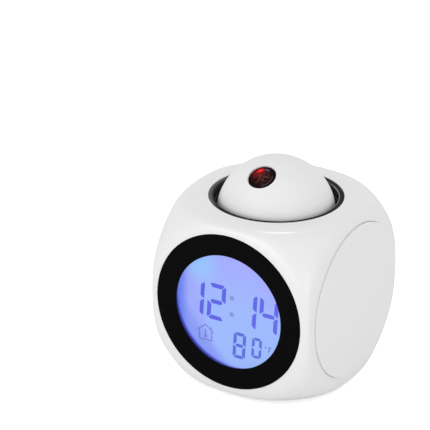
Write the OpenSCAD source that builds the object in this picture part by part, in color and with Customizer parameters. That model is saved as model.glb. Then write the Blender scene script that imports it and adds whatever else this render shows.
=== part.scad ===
// Projection alarm clock. A white case, square with rounded corners, holds a
// round display in front, a tilting projector ball on top that is pressed to
// hear the time, four keys and a loudspeaker behind, and three AAA cells behind
// a hinged door in the base.
// Millimetres. +Z is up, the display faces -Y, and the origin is on the table,
// under the middle of the case.

/* [Case] */
// Width of the case across two flat faces
case_w = 80; // [78:0.5:90]
// How far a face's round outline reaches past the middle of each edge
face_over = 0.3; // [0.1:0.1:1.5]
// Rounding along the twelve edges
edge_r = 3; // [1.5:0.1:4]
// Wall behind each flat face
wall = 3.2; // [3:0.1:3.8]
// Wall behind the rounded corners
corner_wall = 2.2; // [1.8:0.1:3]
// White land between a round cover and the side of the case
cover_land = 5.5; // [5:0.1:7]
// Gap around each round cover
cover_gap = 0.25; // [0.15:0.05:0.4]
// Width of the ledge that a round cover rests on
ledge_w = 2.5; // [2:0.1:3]
// Depth of the recess under each side cover
side_recess = 1; // [0.6:0.1:1.4]
// How far each side cover stands proud of its face
side_proud = 0.67; // [0.3:0.01:1.2]
// Chamfer around each side cover
side_chamfer = 0.45; // [0.2:0.05:0.6]

/* [Display] */
// White land between the black ring and the side of the case
front_land = 4.5; // [4:0.1:5.5]
// Width of the black ring from its outer edge to the window
ring_w = 9.5; // [9:0.1:12]
// Depth of the recess for the black ring
bezel_t = 1.8; // [1.4:0.1:2.2]
// How far the ring slopes back from its rim to the window
bezel_dish = 0.65; // [0.2:0.05:0.8]
// Thickness of the ring's lip at the window
bezel_lip = 1; // [0.6:0.1:1.1]
// Thickness of the clear window
window_t = 1; // [0.6:0.1:1.2]
// How much wider the window is than the opening it covers
window_lap = 2.5; // [1.5:0.1:3]
// Front wall of the display carrier
carrier_front = 0.8; // [0.6:0.1:1.2]
// Side wall of the display carrier
carrier_wall = 1.6; // [1.2:0.1:2]
// How much wider the carrier's mouth is than the window opening
mouth_over = 1.4; // [1:0.1:1.6]
// Thickness of each of the two display glasses
glass_t = 0.9; // [0.7:0.1:1.1]
// Width of the contact ledges along the rear glass
glass_ledge = 2.8; // [2.4:0.1:3.2]
// Thickness of the light guide
guide_t = 2.8; // [2:0.1:3]
// Thickness of the white reflector sheet
reflector_t = 0.3; // [0.1:0.1:0.5]
// Space between the reflector and the main board
board_gap = 1; // [0.5:0.1:1.4]
// Thickness of the main board
board_t = 1.6; // [1:0.1:1.6]
// Height of each display screw and its boss above the display's centre
display_screw_up = 9; // [7:0.5:12]

/* [Projector] */
// White land between the top ring and the side of the case
ball_land = 10.9; // [10.3:0.1:12.3]
// Depth of the ball's centre below the top face
ball_sink = 8.7; // [8:0.1:11]
// Wall of the ball's two half shells
ball_wall = 1.8; // [1.4:0.1:2.4]
// Angle of the lens above the horizon at rest
lens_elevation = 60; // [40:1:90]
// Radius of the lens
lens_r = 6.1; // [5:0.1:6.5]
// Thickness of the lens at its edge
lens_edge = 1.8; // [1.2:0.1:1.9]
// Radius of the lens's curved front
lens_curve = 20; // [18:0.5:40]
// Wall of the black lens barrel
barrel_wall = 1.6; // [1.2:0.1:2]
// Radius of the two pivot pins
pin_r = 1.4; // [1:0.1:1.6]
// Gap between the ball and its cradle
ball_gap = 0.4; // [0.3:0.05:0.6]
// Wall of the cradle around the ball
cradle_wall = 1.7; // [1.2:0.1:2]
// Wall of the cradle's upper rim
rim_wall = 0.9; // [0.7:0.1:1.2]
// Depth of the cradle's rim below the top face
rim_drop = 3.7; // [3.2:0.1:4.5]
// Depth of the cradle's open lower edge below the ball's centre
skirt_drop = 17.3; // [14:0.1:18]
// Gap between the cradle and the black top ring
slide_gap = 0.4; // [0.2:0.05:0.6]
// Width of the top ring's lip
ring_lip = 1.4; // [1:0.1:1.8]
// Half the height of the cradle's collar
collar_half = 2.1; // [1.9:0.1:2.4]
// How far the collar stands out under the top ring
collar_out = 1.7; // [1.2:0.1:2]
// How far the ball goes down when it is pressed
press_travel = 1.5; // [0.8:0.1:1.8]
// Length of the four return springs at rest
return_spring_len = 10.6; // [9:0.1:12]
// Thickness of the spring plate
spring_plate_t = 2; // [1.5:0.1:2.5]

/* [Keys and loudspeaker] */
// Thickness of the rear cover
rear_t = 1.6; // [1.4:0.1:1.8]
// How far the rear cover lies below the rear face
rear_sunk = 0.6; // [0.4:0.1:0.8]
// Radius of each key
key_r = 3.2; // [2.6:0.1:3.5]
// Distance between two keys
key_pitch = 12; // [11:0.5:13]
// Height of the row of keys above the case's centre
key_up = 10; // [9:0.5:10.5]
// Travel of each key
key_travel = 0.6; // [0.3:0.1:0.6]
// Radius of the loudspeaker
speaker_r = 14; // [12:0.5:14]
// Depth of the loudspeaker below the case's centre
speaker_down = 12; // [11:0.5:13]
// Radius of each hole in the speaker grille
grille_r = 0.8; // [0.5:0.1:1]
// Distance between the grille's rings of holes
grille_pitch = 3.1; // [2.6:0.1:3.1]
// Rings of holes around the grille's middle hole
grille_rings = 3; // [1:1:3]

/* [Base and battery bay] */
// Height of the rubber feet under the base
foot_out = 1; // [0.6:0.1:2]
// Radius of each foot
foot_r = 3; // [2:0.1:3.2]
// Thickness of the base plate
base_t = 1.8; // [1.6:0.1:2]
// Radius of an AAA cell
cell_r = 5.25; // [5:0.05:5.3]
// Length of an AAA cell with its button
cell_len = 44.5; // [43:0.5:45]
// Space beside each cell
cell_gap = 0.6; // [0.4:0.05:0.7]
// Wall of the battery bay
bay_wall = 1.2; // [1:0.1:1.4]
// Length of the squeezed battery springs
cell_spring_len = 4.8; // [4:0.1:5]
// Thickness of the battery door
door_t = 1.6; // [1.2:0.1:1.8]
// Gap around the battery door
door_gap = 0.3; // [0.2:0.05:0.5]
// Radius of the door's rolled hinge edge
hinge_r = 1.2; // [1:0.1:1.3]
// Radius of the hinge pins at the ends of that edge
hinge_pin_r = 0.7; // [0.5:0.05:0.8]

/* [Fasteners and fits] */
// Radius of a screw's thread
screw_r = 0.95; // [0.8:0.05:1.1]
// Radius of a screw's head
head_r = 1.9; // [1.6:0.1:2.1]
// Height of a screw's head
head_h = 1; // [0.8:0.1:1.2]
// Length of thread that bites into a short post
screw_bite = 3; // [2.5:0.1:3.2]
// Radius of a screw boss
boss_r = 2.6; // [2.4:0.1:2.8]
// Running clearance of pins and axles
run_gap = 0.05; // [0.03:0.01:0.08]
// Clearance of parts that are pushed together
fit_gap = 0.1; // [0.05:0.01:0.15]
// Clearance of screws and keys in their holes
hole_gap = 0.15; // [0.1:0.05:0.25]

/* [Hidden] */

$fn = 96;
past = 1;
small = 48;

// Case, from the middle of the cube outwards
half = case_w / 2;
centre_z = foot_out + half;
corner_r = norm([half, half + face_over]);
cavity = half - wall;
cavity_r = corner_r - corner_wall;
cover_r = half - cover_land;
opening_r = cover_r - ledge_w;
side_seat = half - side_recess;
peg_r = 1.6;
peg_len = wall - side_recess + 0.6;
peg_circle = cover_r * 0.65;

// Display, from the ring inwards
bezel_r = half - front_land;
window_r = bezel_r - ring_w;
bezel_seat = half - bezel_t;
front_open_r = bezel_r - ledge_w;
window_front = half - bezel_dish - bezel_lip;
window_disc_r = window_r + window_lap;
bezel_back = cavity + fit_gap;
mouth_r = window_r + mouth_over;
glass_half = mouth_r + fit_gap;
glass_front = cavity - carrier_front;
glass_mid = glass_front - glass_t;
glass_back = glass_mid - glass_t;
pocket_half = glass_half + hole_gap;
carrier_half = pocket_half + carrier_wall;
carrier_corner_r = sqrt(pow(cavity_r, 2) - pow(cavity, 2)) - 0.2;
guide_back = glass_back - guide_t;
reflector_back = guide_back - reflector_t;
board_front = reflector_back - board_gap;
board_back = board_front - board_t;
strip_w = 2;
strip_at = glass_half - glass_ledge / 2;
guide_half_h = glass_half - glass_ledge - 1;
led_w = 1.8;
led_h = 3.5;
led_up = guide_half_h / 2;
post_r = 1.8;
post_at = glass_half - 1.5;
board_top = carrier_half - 2.1;
chip_out = carrier_half * 0.27;
chip_down = carrier_half * 0.34;
display_boss_r = boss_r - 0.3;
display_screw_out = cavity - display_boss_r - 0.3;
ear_t = 1.6;
ear_front = cavity - 3.8;
ear_from = carrier_half - 0.8;
ear_to = display_screw_out + 2;

// Screw circle shared by the rear cover and the base plate
screw_circle = opening_r - boss_r + 1;
rear_screw_angle = 25;
base_screw_angle = 16;
rib_t = 1.6;
sunk_seat = 0.8;
screw_len = 7;

// Projector ball, cradle and top ring, heights above the middle of the cube
ball_z = half - ball_sink;
ring_r = half - ball_land;
ring_in_r = ring_r - ring_lip;
rim_r = ring_in_r - slide_gap;
rim_in_r = rim_r - rim_wall;
ball_r = rim_in_r - fit_gap - ball_gap;
ball_in_r = ball_r - ball_wall;
ball_mid_r = ball_r - ball_wall / 2;
cradle_in_r = ball_r + ball_gap;
cradle_r = cradle_in_r + cradle_wall;
rim_top = half - rim_drop;
collar_r = rim_r + collar_out;
collar_top = ball_z + collar_half;
collar_bottom = ball_z - collar_half;
collar_lip = 0.3;
bore_from = ball_z - pin_r - 0.4;
flange_bottom = collar_top + 0.2;
flange_t = 1.6;
flange_top = flange_bottom + flange_t;
post_circle = collar_r + slide_gap + boss_r;
flange_r = post_circle + boss_r;
lug_t = 2.2;
lug_w = 6;
plate_top = collar_bottom - return_spring_len;
plate_bottom = plate_top - spring_plate_t;
plate_in_r = sqrt(pow(cradle_r, 2) - pow(ball_z - press_travel - plate_top, 2)) + 0.8;
plate_front = board_back - 0.7;
spring_wire_r = 0.25;
spring_r = 2;
spring_circle = post_circle - 0.6;
spring_angles = [22.5, -22.5, 157.5, 202.5];
switch_circle = post_circle - 1;
switch_w = 6;
switch_h = 3.4;
plunger_h = 0.6;
plunger_r = 1.7;

// Round notch in the main board's top edge, where the cradle comes nearest
board_notch_z = ball_z - press_travel / 2;
board_notch_r = sqrt(max(0.01, pow(cradle_r + 1, 2) - pow(board_back, 2))) + press_travel / 2;

// Parts in the ball, along the lens's axis from the ball's centre
lens_tilt = 90 - lens_elevation;
barrel_r = lens_r + 1.5;
barrel_in_r = barrel_r - barrel_wall;
barrel_top = sqrt(pow(ball_in_r, 2) - pow(barrel_r, 2)) - 0.02;
barrel_bottom = -4;
lens_front = barrel_top + lens_edge;
barrel_boss_r = barrel_r + 1.5;
barrel_boss_from = 15;
stop_at = 9.2;
stop_t = 1;
stop_r = barrel_in_r - 1.5;
slide_w = (barrel_in_r - 0.2) * sqrt(2);
slide_t = 1.2;
condenser_at = 4.2;
condenser_t = 1.5;
led_r = 2.5;
led_len = 7;
ball_board_t = 1.6;
ball_post_at = 14;
ball_post_r = 2.8;
ball_screw_seat = -8;
ball_screw_len = 14;
pin_from = 19.5;
pin_to = collar_r - 0.2;
pin_boss_r = pin_r + 1.8;
pin_boss_from = 18.5;
wire_hole_r = 3;

// Rear cover, keys and loudspeaker
rear_seat = half - rear_sunk - rear_t;
rear_face = half - rear_sunk;
key_flange_r = key_r + 1;
key_flange_top = rear_seat - fit_gap;
key_flange_t = 1.1;
key_stem_r = 1.5;
key_stem_end = key_flange_top - 2.5;
key_switch_top = key_stem_end - key_travel - fit_gap;
key_switch_h = 2.8;
key_board_top = key_switch_top - plunger_h - key_switch_h;
key_board_t = 1.2;
key_board_bottom = key_board_top - key_board_t;
key_board_w = 4 * key_pitch - 2;
key_board_h = 10;
key_post_r = 1.6;
key_screw_r = 0.8;
speaker_lip_t = 1.2;
speaker_cup_r = speaker_r * 0.72;
speaker_cup_t = 3.2;
speaker_wall = 0.8;
speaker_core_r = speaker_r * 0.28;
magnet_r = speaker_r * 0.57;
magnet_t = 3;
speaker_back = rear_seat - speaker_lip_t - speaker_cup_t;

// Base plate, battery bay and door
base_seat = half - base_t;
bay_half_w = (6 * cell_r + 4 * cell_gap) / 2;
plate_t = 0.4;
bay_half_l = (cell_len + cell_spring_len + 2 * plate_t) / 2;
door_in = half - door_t;
hinge_depth = half - hinge_r;
cell_low = hinge_depth - hinge_r - 0.2;
cell_axis = cell_low - cell_r;
bay_roof = cell_axis - cell_r - 0.3;
bay_top = bay_roof - bay_wall;
hinge_y = -(bay_half_l - hinge_r - 0.2);
cell_pitch = 2 * cell_r + cell_gap;
button_r = 1.9;
button_h = 1;
foot_in = 0.6;
foot_x = cover_r * 2 / 3;
foot_y = cover_r * 0.58;
notch_r = 6;

// Places: each puts +Z along the outward normal of one face

module on_top() translate([0, 0, centre_z]) children();
module on_front() on_top() rotate([90, 0, 0]) children();
module on_rear() on_top() rotate([90, 0, 180]) children();
module on_right() on_top() rotate([90, 0, 90]) children();
module on_left() on_top() rotate([90, 0, -90]) children();
module on_base() on_top() rotate([180, 0, 0]) children();
module in_ball() on_top() translate([0, 0, ball_z]) rotate([lens_tilt, 0, 0]) children();

module at_corners(x, y) {
    for (sx = [-1, 1], sy = [-1, 1]) translate([sx * x, sy * y, 0]) children();
}
module around(radius, angles) {
    for (a = angles) rotate([0, 0, a]) translate([radius, 0, 0]) children();
}
module on_screw_circle(angle) {
    at_corners(screw_circle * cos(angle), screw_circle * sin(angle)) children();
}

// Shapes shared by several pieces

module disc(r, from, to) translate([0, 0, from]) cylinder(h = to - from, r = r);
module block(w, d, from, to) translate([-w / 2, -d / 2, from]) cube([w, d, to - from]);
module hoop(r_out, r_in, from, to) {
    difference() {
        disc(r_out, from, to);
        disc(r_in, from - past, to + past);
    }
}

// Pan-head screw whose head sits at height 0 and whose point is below
module screw(length, r = screw_r, head = head_r, $fn = small) {
    slot_w = head * 0.3;
    slot_depth = head_h * 0.6;
    difference() {
        union() {
            disc(r, -length, 0);
            disc(head, 0, head_h);
        }
        block(head * 1.2, slot_w, head_h - slot_depth, head_h + past);
        block(slot_w, head * 1.2, head_h - slot_depth, head_h + past);
    }
}

// Round wire wound into an open coil: rings of points joined into one tube
module coil(r, wire, height, turns) {
    sides = 6;
    per_turn = 14;
    n = turns * per_turn;
    rise = height - 2 * wire;
    points = [
        for (i = [0 : n], k = [0 : sides - 1])
            let (a = 360 * i / per_turn, b = 360 * k / sides)
            [
                (r + wire * cos(b)) * cos(a),
                (r + wire * cos(b)) * sin(a),
                wire + rise * i / n + wire * sin(b)
            ]
    ];
    tube = [
        for (i = [0 : n - 1], k = [0 : sides - 1])
            let (m = (k + 1) % sides)
            [i * sides + k, (i + 1) * sides + k, (i + 1) * sides + m, i * sides + m]
    ];
    ends = [
        [for (k = [0 : sides - 1]) k],
        [for (k = [0 : sides - 1]) n * sides + sides - 1 - k]
    ];
    polyhedron(points = points, faces = concat(tube, ends), convexity = 10);
}

// Case

module rounded_square(h, r) {
    square([2 * h, 2 * (h - r)], center = true);
    square([2 * (h - r), 2 * h], center = true);
    at_corners(h - r, h - r) circle(r = r);
}
module rounded_bar() {
    linear_extrude(height = 2 * (half + past), center = true) rounded_square(half, edge_r);
}
module case_form() {
    intersection() {
        rounded_bar();
        rotate([90, 0, 0]) rounded_bar();
        rotate([0, 90, 0]) rounded_bar();
        sphere(r = corner_r);
    }
}
module case_cavity() {
    intersection() {
        cube(2 * cavity, center = true);
        sphere(r = cavity_r);
    }
}

// Recess, ledge and opening for a round cover
module cover_cut(r, seat, open) {
    disc(r + cover_gap, seat, half + past);
    disc(open, cavity - past, half);
}

// Boss on the screw circle, tied to the nearer side wall by a rib
module ribbed_boss(angle, from, seat) {
    x = screw_circle * cos(angle);
    y = screw_circle * sin(angle);
    at_corners(x, y) disc(boss_r, from, seat);
    for (s = [-1, 1], t = [-1, 1])
        translate([s * (x + cavity + 0.4) / 2, t * y, 0])
            block(cavity + 0.4 - x, rib_t, from, cavity + 0.4);
}

module main_shell() {
    color("white") difference() {
        union() {
            difference() {
                on_top() case_form();
                on_top() case_cavity();
                on_front() cover_cut(bezel_r, bezel_seat, front_open_r);
                on_rear() cover_cut(cover_r, rear_seat, opening_r);
                on_base() cover_cut(cover_r, base_seat, opening_r);
                on_right() disc(cover_r + cover_gap, side_seat, half + past);
                on_left() disc(cover_r + cover_gap, side_seat, half + past);
                on_top() disc(ring_r + fit_gap, cavity - past, half + past);
            }
            on_front() at_corners(display_screw_out, display_screw_up)
                disc(display_boss_r, ear_front, cavity + 0.4);
            on_top() around(post_circle, [0 : 90 : 270]) disc(boss_r, flange_top, cavity + 0.4);
            on_rear() ribbed_boss(rear_screw_angle, rear_seat - 8, rear_seat);
            on_base() ribbed_boss(base_screw_angle, base_seat - 8, base_seat);
        }
        on_front() at_corners(display_screw_out, display_screw_up)
            disc(screw_r, ear_front - past, cavity, $fn = small);
        on_top() around(post_circle, [0 : 90 : 270])
            disc(screw_r, flange_top - past, half - 1.2, $fn = small);
        on_rear() on_screw_circle(rear_screw_angle)
            disc(screw_r, rear_seat - screw_len, rear_seat + past, $fn = small);
        on_base() on_screw_circle(base_screw_angle)
            disc(screw_r, base_seat - screw_len, base_seat + past, $fn = small);
        on_right() around(peg_circle, [90, 210, 330])
            disc(peg_r, cavity - past, half, $fn = small);
        on_left() around(peg_circle, [90, 210, 330])
            disc(peg_r, cavity - past, half, $fn = small);
    }
}

module side_cover() {
    top = half + side_proud;
    disc(cover_r, side_seat, top - side_chamfer);
    translate([0, 0, top - side_chamfer])
        cylinder(h = side_chamfer, r1 = cover_r, r2 = cover_r - side_chamfer);
    around(peg_circle, [90, 210, 330])
        disc(peg_r - run_gap, side_seat - peg_len, side_seat, $fn = small);
}
module side_cover_left() color("white") on_left() side_cover();
module side_cover_right() color("white") on_right() side_cover();

// Display

module front_bezel() {
    color([0.05, 0.05, 0.05]) on_front() rotate_extrude() polygon([
        [window_r, half - bezel_dish],
        [bezel_r, half],
        [bezel_r, bezel_seat],
        [front_open_r - fit_gap, bezel_seat],
        [front_open_r - fit_gap, bezel_back],
        [window_disc_r, bezel_back],
        [window_disc_r, window_front],
        [window_r, window_front]
    ]);
}
module display_window() {
    color([0.8, 0.85, 0.9, 0.3]) on_front()
        disc(window_disc_r - run_gap, window_front - window_t, window_front);
}
module display_carrier() {
    color("ghostwhite") on_front() difference() {
        union() {
            intersection() {
                block(2 * carrier_half, 2 * carrier_half, board_front, cavity);
                disc(carrier_corner_r, board_front - past, cavity + past);
            }
            at_corners((ear_from + ear_to) / 2, display_screw_up)
                block(ear_to - ear_from, 2 * boss_r, ear_front - ear_t, ear_front);
        }
        difference() {
            block(2 * pocket_half, 2 * pocket_half, board_front - past, glass_front);
            at_corners(post_at, post_at) disc(post_r, board_front, glass_back - 0.2);
        }
        disc(mouth_r, glass_front - past, cavity + past);
        at_corners(post_at, post_at)
            disc(screw_r, board_front - past, glass_back - past, $fn = small);
        at_corners(display_screw_out, display_screw_up)
            disc(screw_r + hole_gap, ear_front - ear_t - past, cavity, $fn = small);
    }
}
module display_glass_front() {
    color([0.6, 0.65, 1]) on_front() block(2 * glass_half, 2 * glass_half, glass_mid, glass_front);
}
module display_glass_rear() {
    color([0.55, 0.6, 1]) on_front()
        block(2 * glass_half, 2 * (glass_half - glass_ledge), glass_back, glass_mid);
}
module light_guide() {
    width = 2 * glass_half - led_w - 2 * fit_gap;
    color([0.85, 0.9, 1, 0.6]) on_front() translate([glass_half - width / 2, 0, 0])
        block(width, 2 * guide_half_h, guide_back, glass_back);
}
module reflector_sheet() {
    width = 2 * glass_half - led_w - 2 * fit_gap;
    color("white") on_front() translate([glass_half - width / 2, 0, 0])
        block(width, 2 * guide_half_h, reflector_back, guide_back);
}
module backlight_leds() {
    color("lightyellow") on_front() for (s = [-1, 1])
        translate([led_w / 2 - glass_half, s * led_up, 0])
            block(led_w, led_h, board_front, glass_back - 0.3);
}
module contact_strips() {
    color("dimgray") on_front() for (s = [-1, 1]) translate([0, s * strip_at, 0])
        block(2 * (post_at - post_r) - 0.4, strip_w, board_front, glass_mid);
}
module main_board() {
    low = -(carrier_half - 1);
    color("darkgreen") on_front() difference() {
        intersection() {
            translate([0, (board_top + low) / 2, 0])
                block(2 * carrier_half, board_top - low, board_back, board_front);
            disc(carrier_corner_r, board_back - past, board_front + past);
        }
        translate([0, board_notch_z, 0])
            disc(board_notch_r, board_back - past, board_front + past, $fn = small);
        at_corners(post_at, post_at)
            disc(screw_r + hole_gap, board_back - past, board_front + past, $fn = small);
    }
}
module controller_blob() {
    blob_r = 6;
    dome_r = 9;
    sink = sqrt(pow(dome_r, 2) - pow(blob_r, 2));
    color([0.1, 0.1, 0.1]) on_front() translate([-chip_out, -chip_down, board_back]) intersection() {
        translate([0, 0, sink]) sphere(r = dome_r);
        disc(blob_r, -dome_r, 0);
    }
}
module clock_crystal() {
    can_r = 1;
    can_l = 6;
    color("silver") on_front() translate([chip_out / 2, -chip_down / 3, board_back - can_r])
        rotate([0, 90, 0]) cylinder(h = can_l, r = can_r, $fn = small);
}
module temperature_sensor() {
    bead_r = 1.3;
    bead_w = 3;
    color("saddlebrown") on_front() translate([2 * chip_out, -2 * chip_down, 0])
        rotate([0, 0, 45]) disc(bead_r, board_back - bead_w, board_back, $fn = small);
}
module display_screws() {
    color("silver") on_front() at_corners(display_screw_out, display_screw_up)
        translate([0, 0, ear_front - ear_t]) rotate([180, 0, 0])
            screw(cavity - ear_front + ear_t - 0.6);
}
module board_screws() {
    color("silver") on_front() at_corners(post_at, post_at)
        translate([0, 0, board_back]) rotate([180, 0, 0])
            screw(board_t + screw_bite);
}

// Top ring, spring plate and the switch under the ball

module top_ring() {
    color([0.08, 0.08, 0.08]) on_top() difference() {
        union() {
            rotate_extrude() polygon([
                [ring_in_r, flange_bottom],
                [flange_r, flange_bottom],
                [flange_r, flange_top],
                [ring_r, flange_top],
                [ring_r, half],
                [ring_in_r, half]
            ]);
            around(post_circle, [45 : 90 : 315]) disc(boss_r, plate_top, flange_bottom + 0.4);
        }
        around(post_circle, [0 : 90 : 270])
            disc(screw_r + hole_gap, flange_bottom - past, flange_top + past, $fn = small);
        around(post_circle, [45 : 90 : 315])
            disc(screw_r, plate_top - past, plate_top + 2 * screw_bite + 2, $fn = small);
    }
}
module ring_screws() {
    color("silver") on_top() around(post_circle, [0 : 90 : 270])
        translate([0, 0, flange_bottom]) rotate([180, 0, 0])
            screw(half - 1.5 - flange_bottom);
}
module spring_plate() {
    spigot_h = 2;
    color("gainsboro") on_top() difference() {
        union() {
            difference() {
                hoop(flange_r, plate_in_r, plate_bottom, plate_top);
                translate([0, -plate_front - half, 0])
                    block(case_w, case_w, plate_bottom - past, plate_top + past);
            }
            around(spring_circle, spring_angles)
                disc(spring_r - spring_wire_r - 0.3, plate_top, plate_top + spigot_h, $fn = small);
        }
        around(post_circle, [45 : 90 : 315])
            disc(screw_r + hole_gap, plate_bottom - past, plate_top + past, $fn = small);
    }
}
module spring_plate_screws() {
    color("silver") on_top() around(post_circle, [45 : 90 : 315])
        translate([0, 0, plate_bottom]) rotate([180, 0, 0])
            screw(spring_plate_t + 2 * screw_bite);
}
module tact_switch(base, height) {
    block(switch_w, switch_w, base, base + height);
    disc(plunger_r, base + height, base + height + plunger_h, $fn = small);
}
module talk_switch() {
    color([0.2, 0.2, 0.22]) on_top() around(switch_circle, [90]) tact_switch(plate_top, switch_h);
}
module return_springs() {
    color("silver") on_top() around(spring_circle, spring_angles)
        translate([0, 0, plate_top]) coil(spring_r, spring_wire_r, return_spring_len, 6);
}

// Cradle: holds the ball by its pins and goes down with it
module cradle_profile() {
    difference() {
        union() {
            intersection() {
                translate([0, ball_z]) circle(r = cradle_r);
                translate([0, ball_z - skirt_drop]) square([cradle_r + past, skirt_drop]);
            }
            translate([0, collar_bottom - collar_lip])
                square([collar_r, 2 * collar_half + collar_lip]);
            translate([0, ball_z]) square([rim_r, rim_top - ball_z]);
        }
        translate([0, ball_z]) circle(r = cradle_in_r);
        translate([0, bore_from]) square([rim_in_r, half]);
    }
}
module cradle_lug(radius, reach) {
    translate([(radius + reach) / 2, 0, 0])
        block(reach - radius, lug_w, collar_bottom, collar_bottom + lug_t);
}
module cradle() {
    nub_end = plate_top + switch_h + plunger_h + press_travel + fit_gap;
    color([0.1, 0.1, 0.1]) on_top() difference() {
        union() {
            rotate([0, 0, 45]) rotate_extrude() cradle_profile();
            around(0, spring_angles) cradle_lug(cradle_r - 1, spring_circle + boss_r);
            around(0, [90]) cradle_lug(cradle_r - 1, switch_circle + boss_r);
            around(spring_circle, spring_angles)
                disc(spring_r - spring_wire_r - 0.3, collar_bottom - 2, collar_bottom + past, $fn = small);
            around(switch_circle, [90])
                disc(plunger_r, nub_end, collar_bottom + past, $fn = small);
        }
        translate([-half, 0, ball_z]) rotate([0, 90, 0])
            cylinder(h = case_w, r = pin_r + run_gap, $fn = small);
    }
}

// Ball: two half shells on two pins, with the projector inside

// Skin with a hole of its own in the middle; the children are added to its profile
module ball_skin(hole) {
    rotate([0, 0, 45]) rotate_extrude() difference() {
        union() {
            difference() {
                circle(r = ball_r);
                circle(r = ball_in_r);
            }
            children();
        }
        translate([-2 * ball_r, -2 * ball_r]) square([2 * ball_r + hole, 4 * ball_r]);
    }
}
// Keeps one side of the seam and adds the bosses that both halves share
module half_ball(side) {
    difference() {
        union() {
            children();
            for (s = [0, 180]) rotate([0, 90, s]) disc(pin_boss_r, pin_boss_from, ball_mid_r);
            for (s = [-1, 1]) intersection() {
                translate([0, s * ball_post_at, 0]) disc(ball_post_r, -ball_r, ball_r);
                sphere(r = ball_mid_r);
            }
        }
        for (s = [0, 180]) rotate([0, 90, s])
            disc(pin_r, pin_boss_from - past, ball_r + past, $fn = small);
        translate([0, 0, -side * ball_r])
            cube([2 * (ball_r + past), 2 * (ball_r + past), 2 * ball_r], center = true);
    }
}
module ball_front_shell() {
    color("white") in_ball() difference() {
        half_ball(1) ball_skin(lens_r + fit_gap) difference() {
            intersection() {
                circle(r = ball_mid_r);
                translate([0, barrel_boss_from]) square([barrel_boss_r, ball_r]);
            }
            square([barrel_r + run_gap, barrel_top]);
        }
        for (s = [-1, 1]) translate([0, s * ball_post_at, 0])
            disc(screw_r, -past, ball_screw_len + ball_screw_seat + 0.5, $fn = small);
    }
}
module ball_rear_shell() {
    color("white") in_ball() difference() {
        half_ball(-1) ball_skin(wire_hole_r);
        for (s = [-1, 1]) translate([0, s * ball_post_at, 0]) {
            disc(screw_r + hole_gap, ball_screw_seat - past, past, $fn = small);
            disc(head_r + hole_gap, -ball_r - past, ball_screw_seat, $fn = small);
        }
    }
}
module ball_screws() {
    color("silver") in_ball() for (s = [-1, 1])
        translate([0, s * ball_post_at, ball_screw_seat]) rotate([180, 0, 0])
            screw(ball_screw_len);
}
module pivot_pins() {
    color("silver") in_ball() for (s = [0, 180])
        rotate([0, 90, s]) disc(pin_r, pin_from, pin_to, $fn = small);
}
module projector_lens() {
    color([0.35, 0.03, 0.03]) in_ball() intersection() {
        disc(lens_r, barrel_top, ball_r + past);
        translate([0, 0, lens_front - sqrt(pow(lens_curve, 2) - pow(lens_r, 2))])
            sphere(r = lens_curve);
    }
}
module lens_barrel() {
    color([0.06, 0.06, 0.06]) in_ball() difference() {
        disc(barrel_r, barrel_bottom, barrel_top);
        disc(barrel_in_r, barrel_bottom - past, stop_at);
        disc(stop_r, stop_at - past, stop_at + stop_t + past);
        disc(barrel_in_r - 0.6, stop_at + stop_t, barrel_top + past);
    }
}
module projector_display() {
    color([0.25, 0.05, 0.05]) in_ball() block(slide_w, slide_w, stop_at - slide_t, stop_at);
}
module condenser_lens() {
    curve = 12;
    r = barrel_in_r - run_gap;
    color([0.9, 0.9, 0.95, 0.5]) in_ball() intersection() {
        disc(r, condenser_at, condenser_at + condenser_t + 2);
        translate([0, 0, condenser_at + condenser_t - sqrt(pow(curve, 2) - pow(r, 2))])
            sphere(r = curve);
    }
}
module projector_led() {
    color("red") in_ball() {
        disc(led_r, barrel_bottom, barrel_bottom + led_len - led_r, $fn = small);
        translate([0, 0, barrel_bottom + led_len - led_r]) intersection() {
            sphere(r = led_r, $fn = small);
            disc(led_r + past, 0, led_r + past);
        }
    }
}
module projector_board() {
    color("darkgreen") in_ball() disc(barrel_r + 1.4, barrel_bottom - ball_board_t, barrel_bottom);
}

// Rear cover, loudspeaker and keys

function key_x(i) = (i - 1.5) * key_pitch;

module rear_cover() {
    color("white") on_rear() difference() {
        union() {
            disc(cover_r, rear_seat, rear_face);
            translate([0, -speaker_down, 0]) disc(speaker_r + 1.4, rear_seat - 2.5, rear_seat);
            for (i = [0.5, 2.5]) translate([key_x(i), key_up, 0])
                disc(key_post_r, key_board_top, rear_seat, $fn = small);
        }
        translate([0, -speaker_down, 0]) {
            disc(speaker_r + fit_gap, rear_seat - 2.5 - past, rear_seat);
            disc(grille_r, rear_seat - past, rear_face + past, $fn = small);
            for (k = [1 : grille_rings])
                around(k * grille_pitch, [0 : 60 / k : 360 - 30 / k])
                    disc(grille_r, rear_seat - past, rear_face + past, $fn = small);
        }
        for (i = [0 : 3]) translate([key_x(i), key_up, 0])
            disc(key_r + hole_gap, rear_seat - past, rear_face + past, $fn = small);
        for (i = [0.5, 2.5]) translate([key_x(i), key_up, 0])
            disc(key_screw_r, key_board_top - past, rear_seat, $fn = small);
        on_screw_circle(rear_screw_angle) {
            disc(screw_r + hole_gap, rear_seat - past, rear_face, $fn = small);
            disc(head_r + hole_gap, rear_face - sunk_seat, rear_face + past, $fn = small);
        }
    }
}
module rear_screws() {
    color("silver") on_rear() on_screw_circle(rear_screw_angle)
        translate([0, 0, rear_face - sunk_seat]) screw(screw_len);
}
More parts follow.
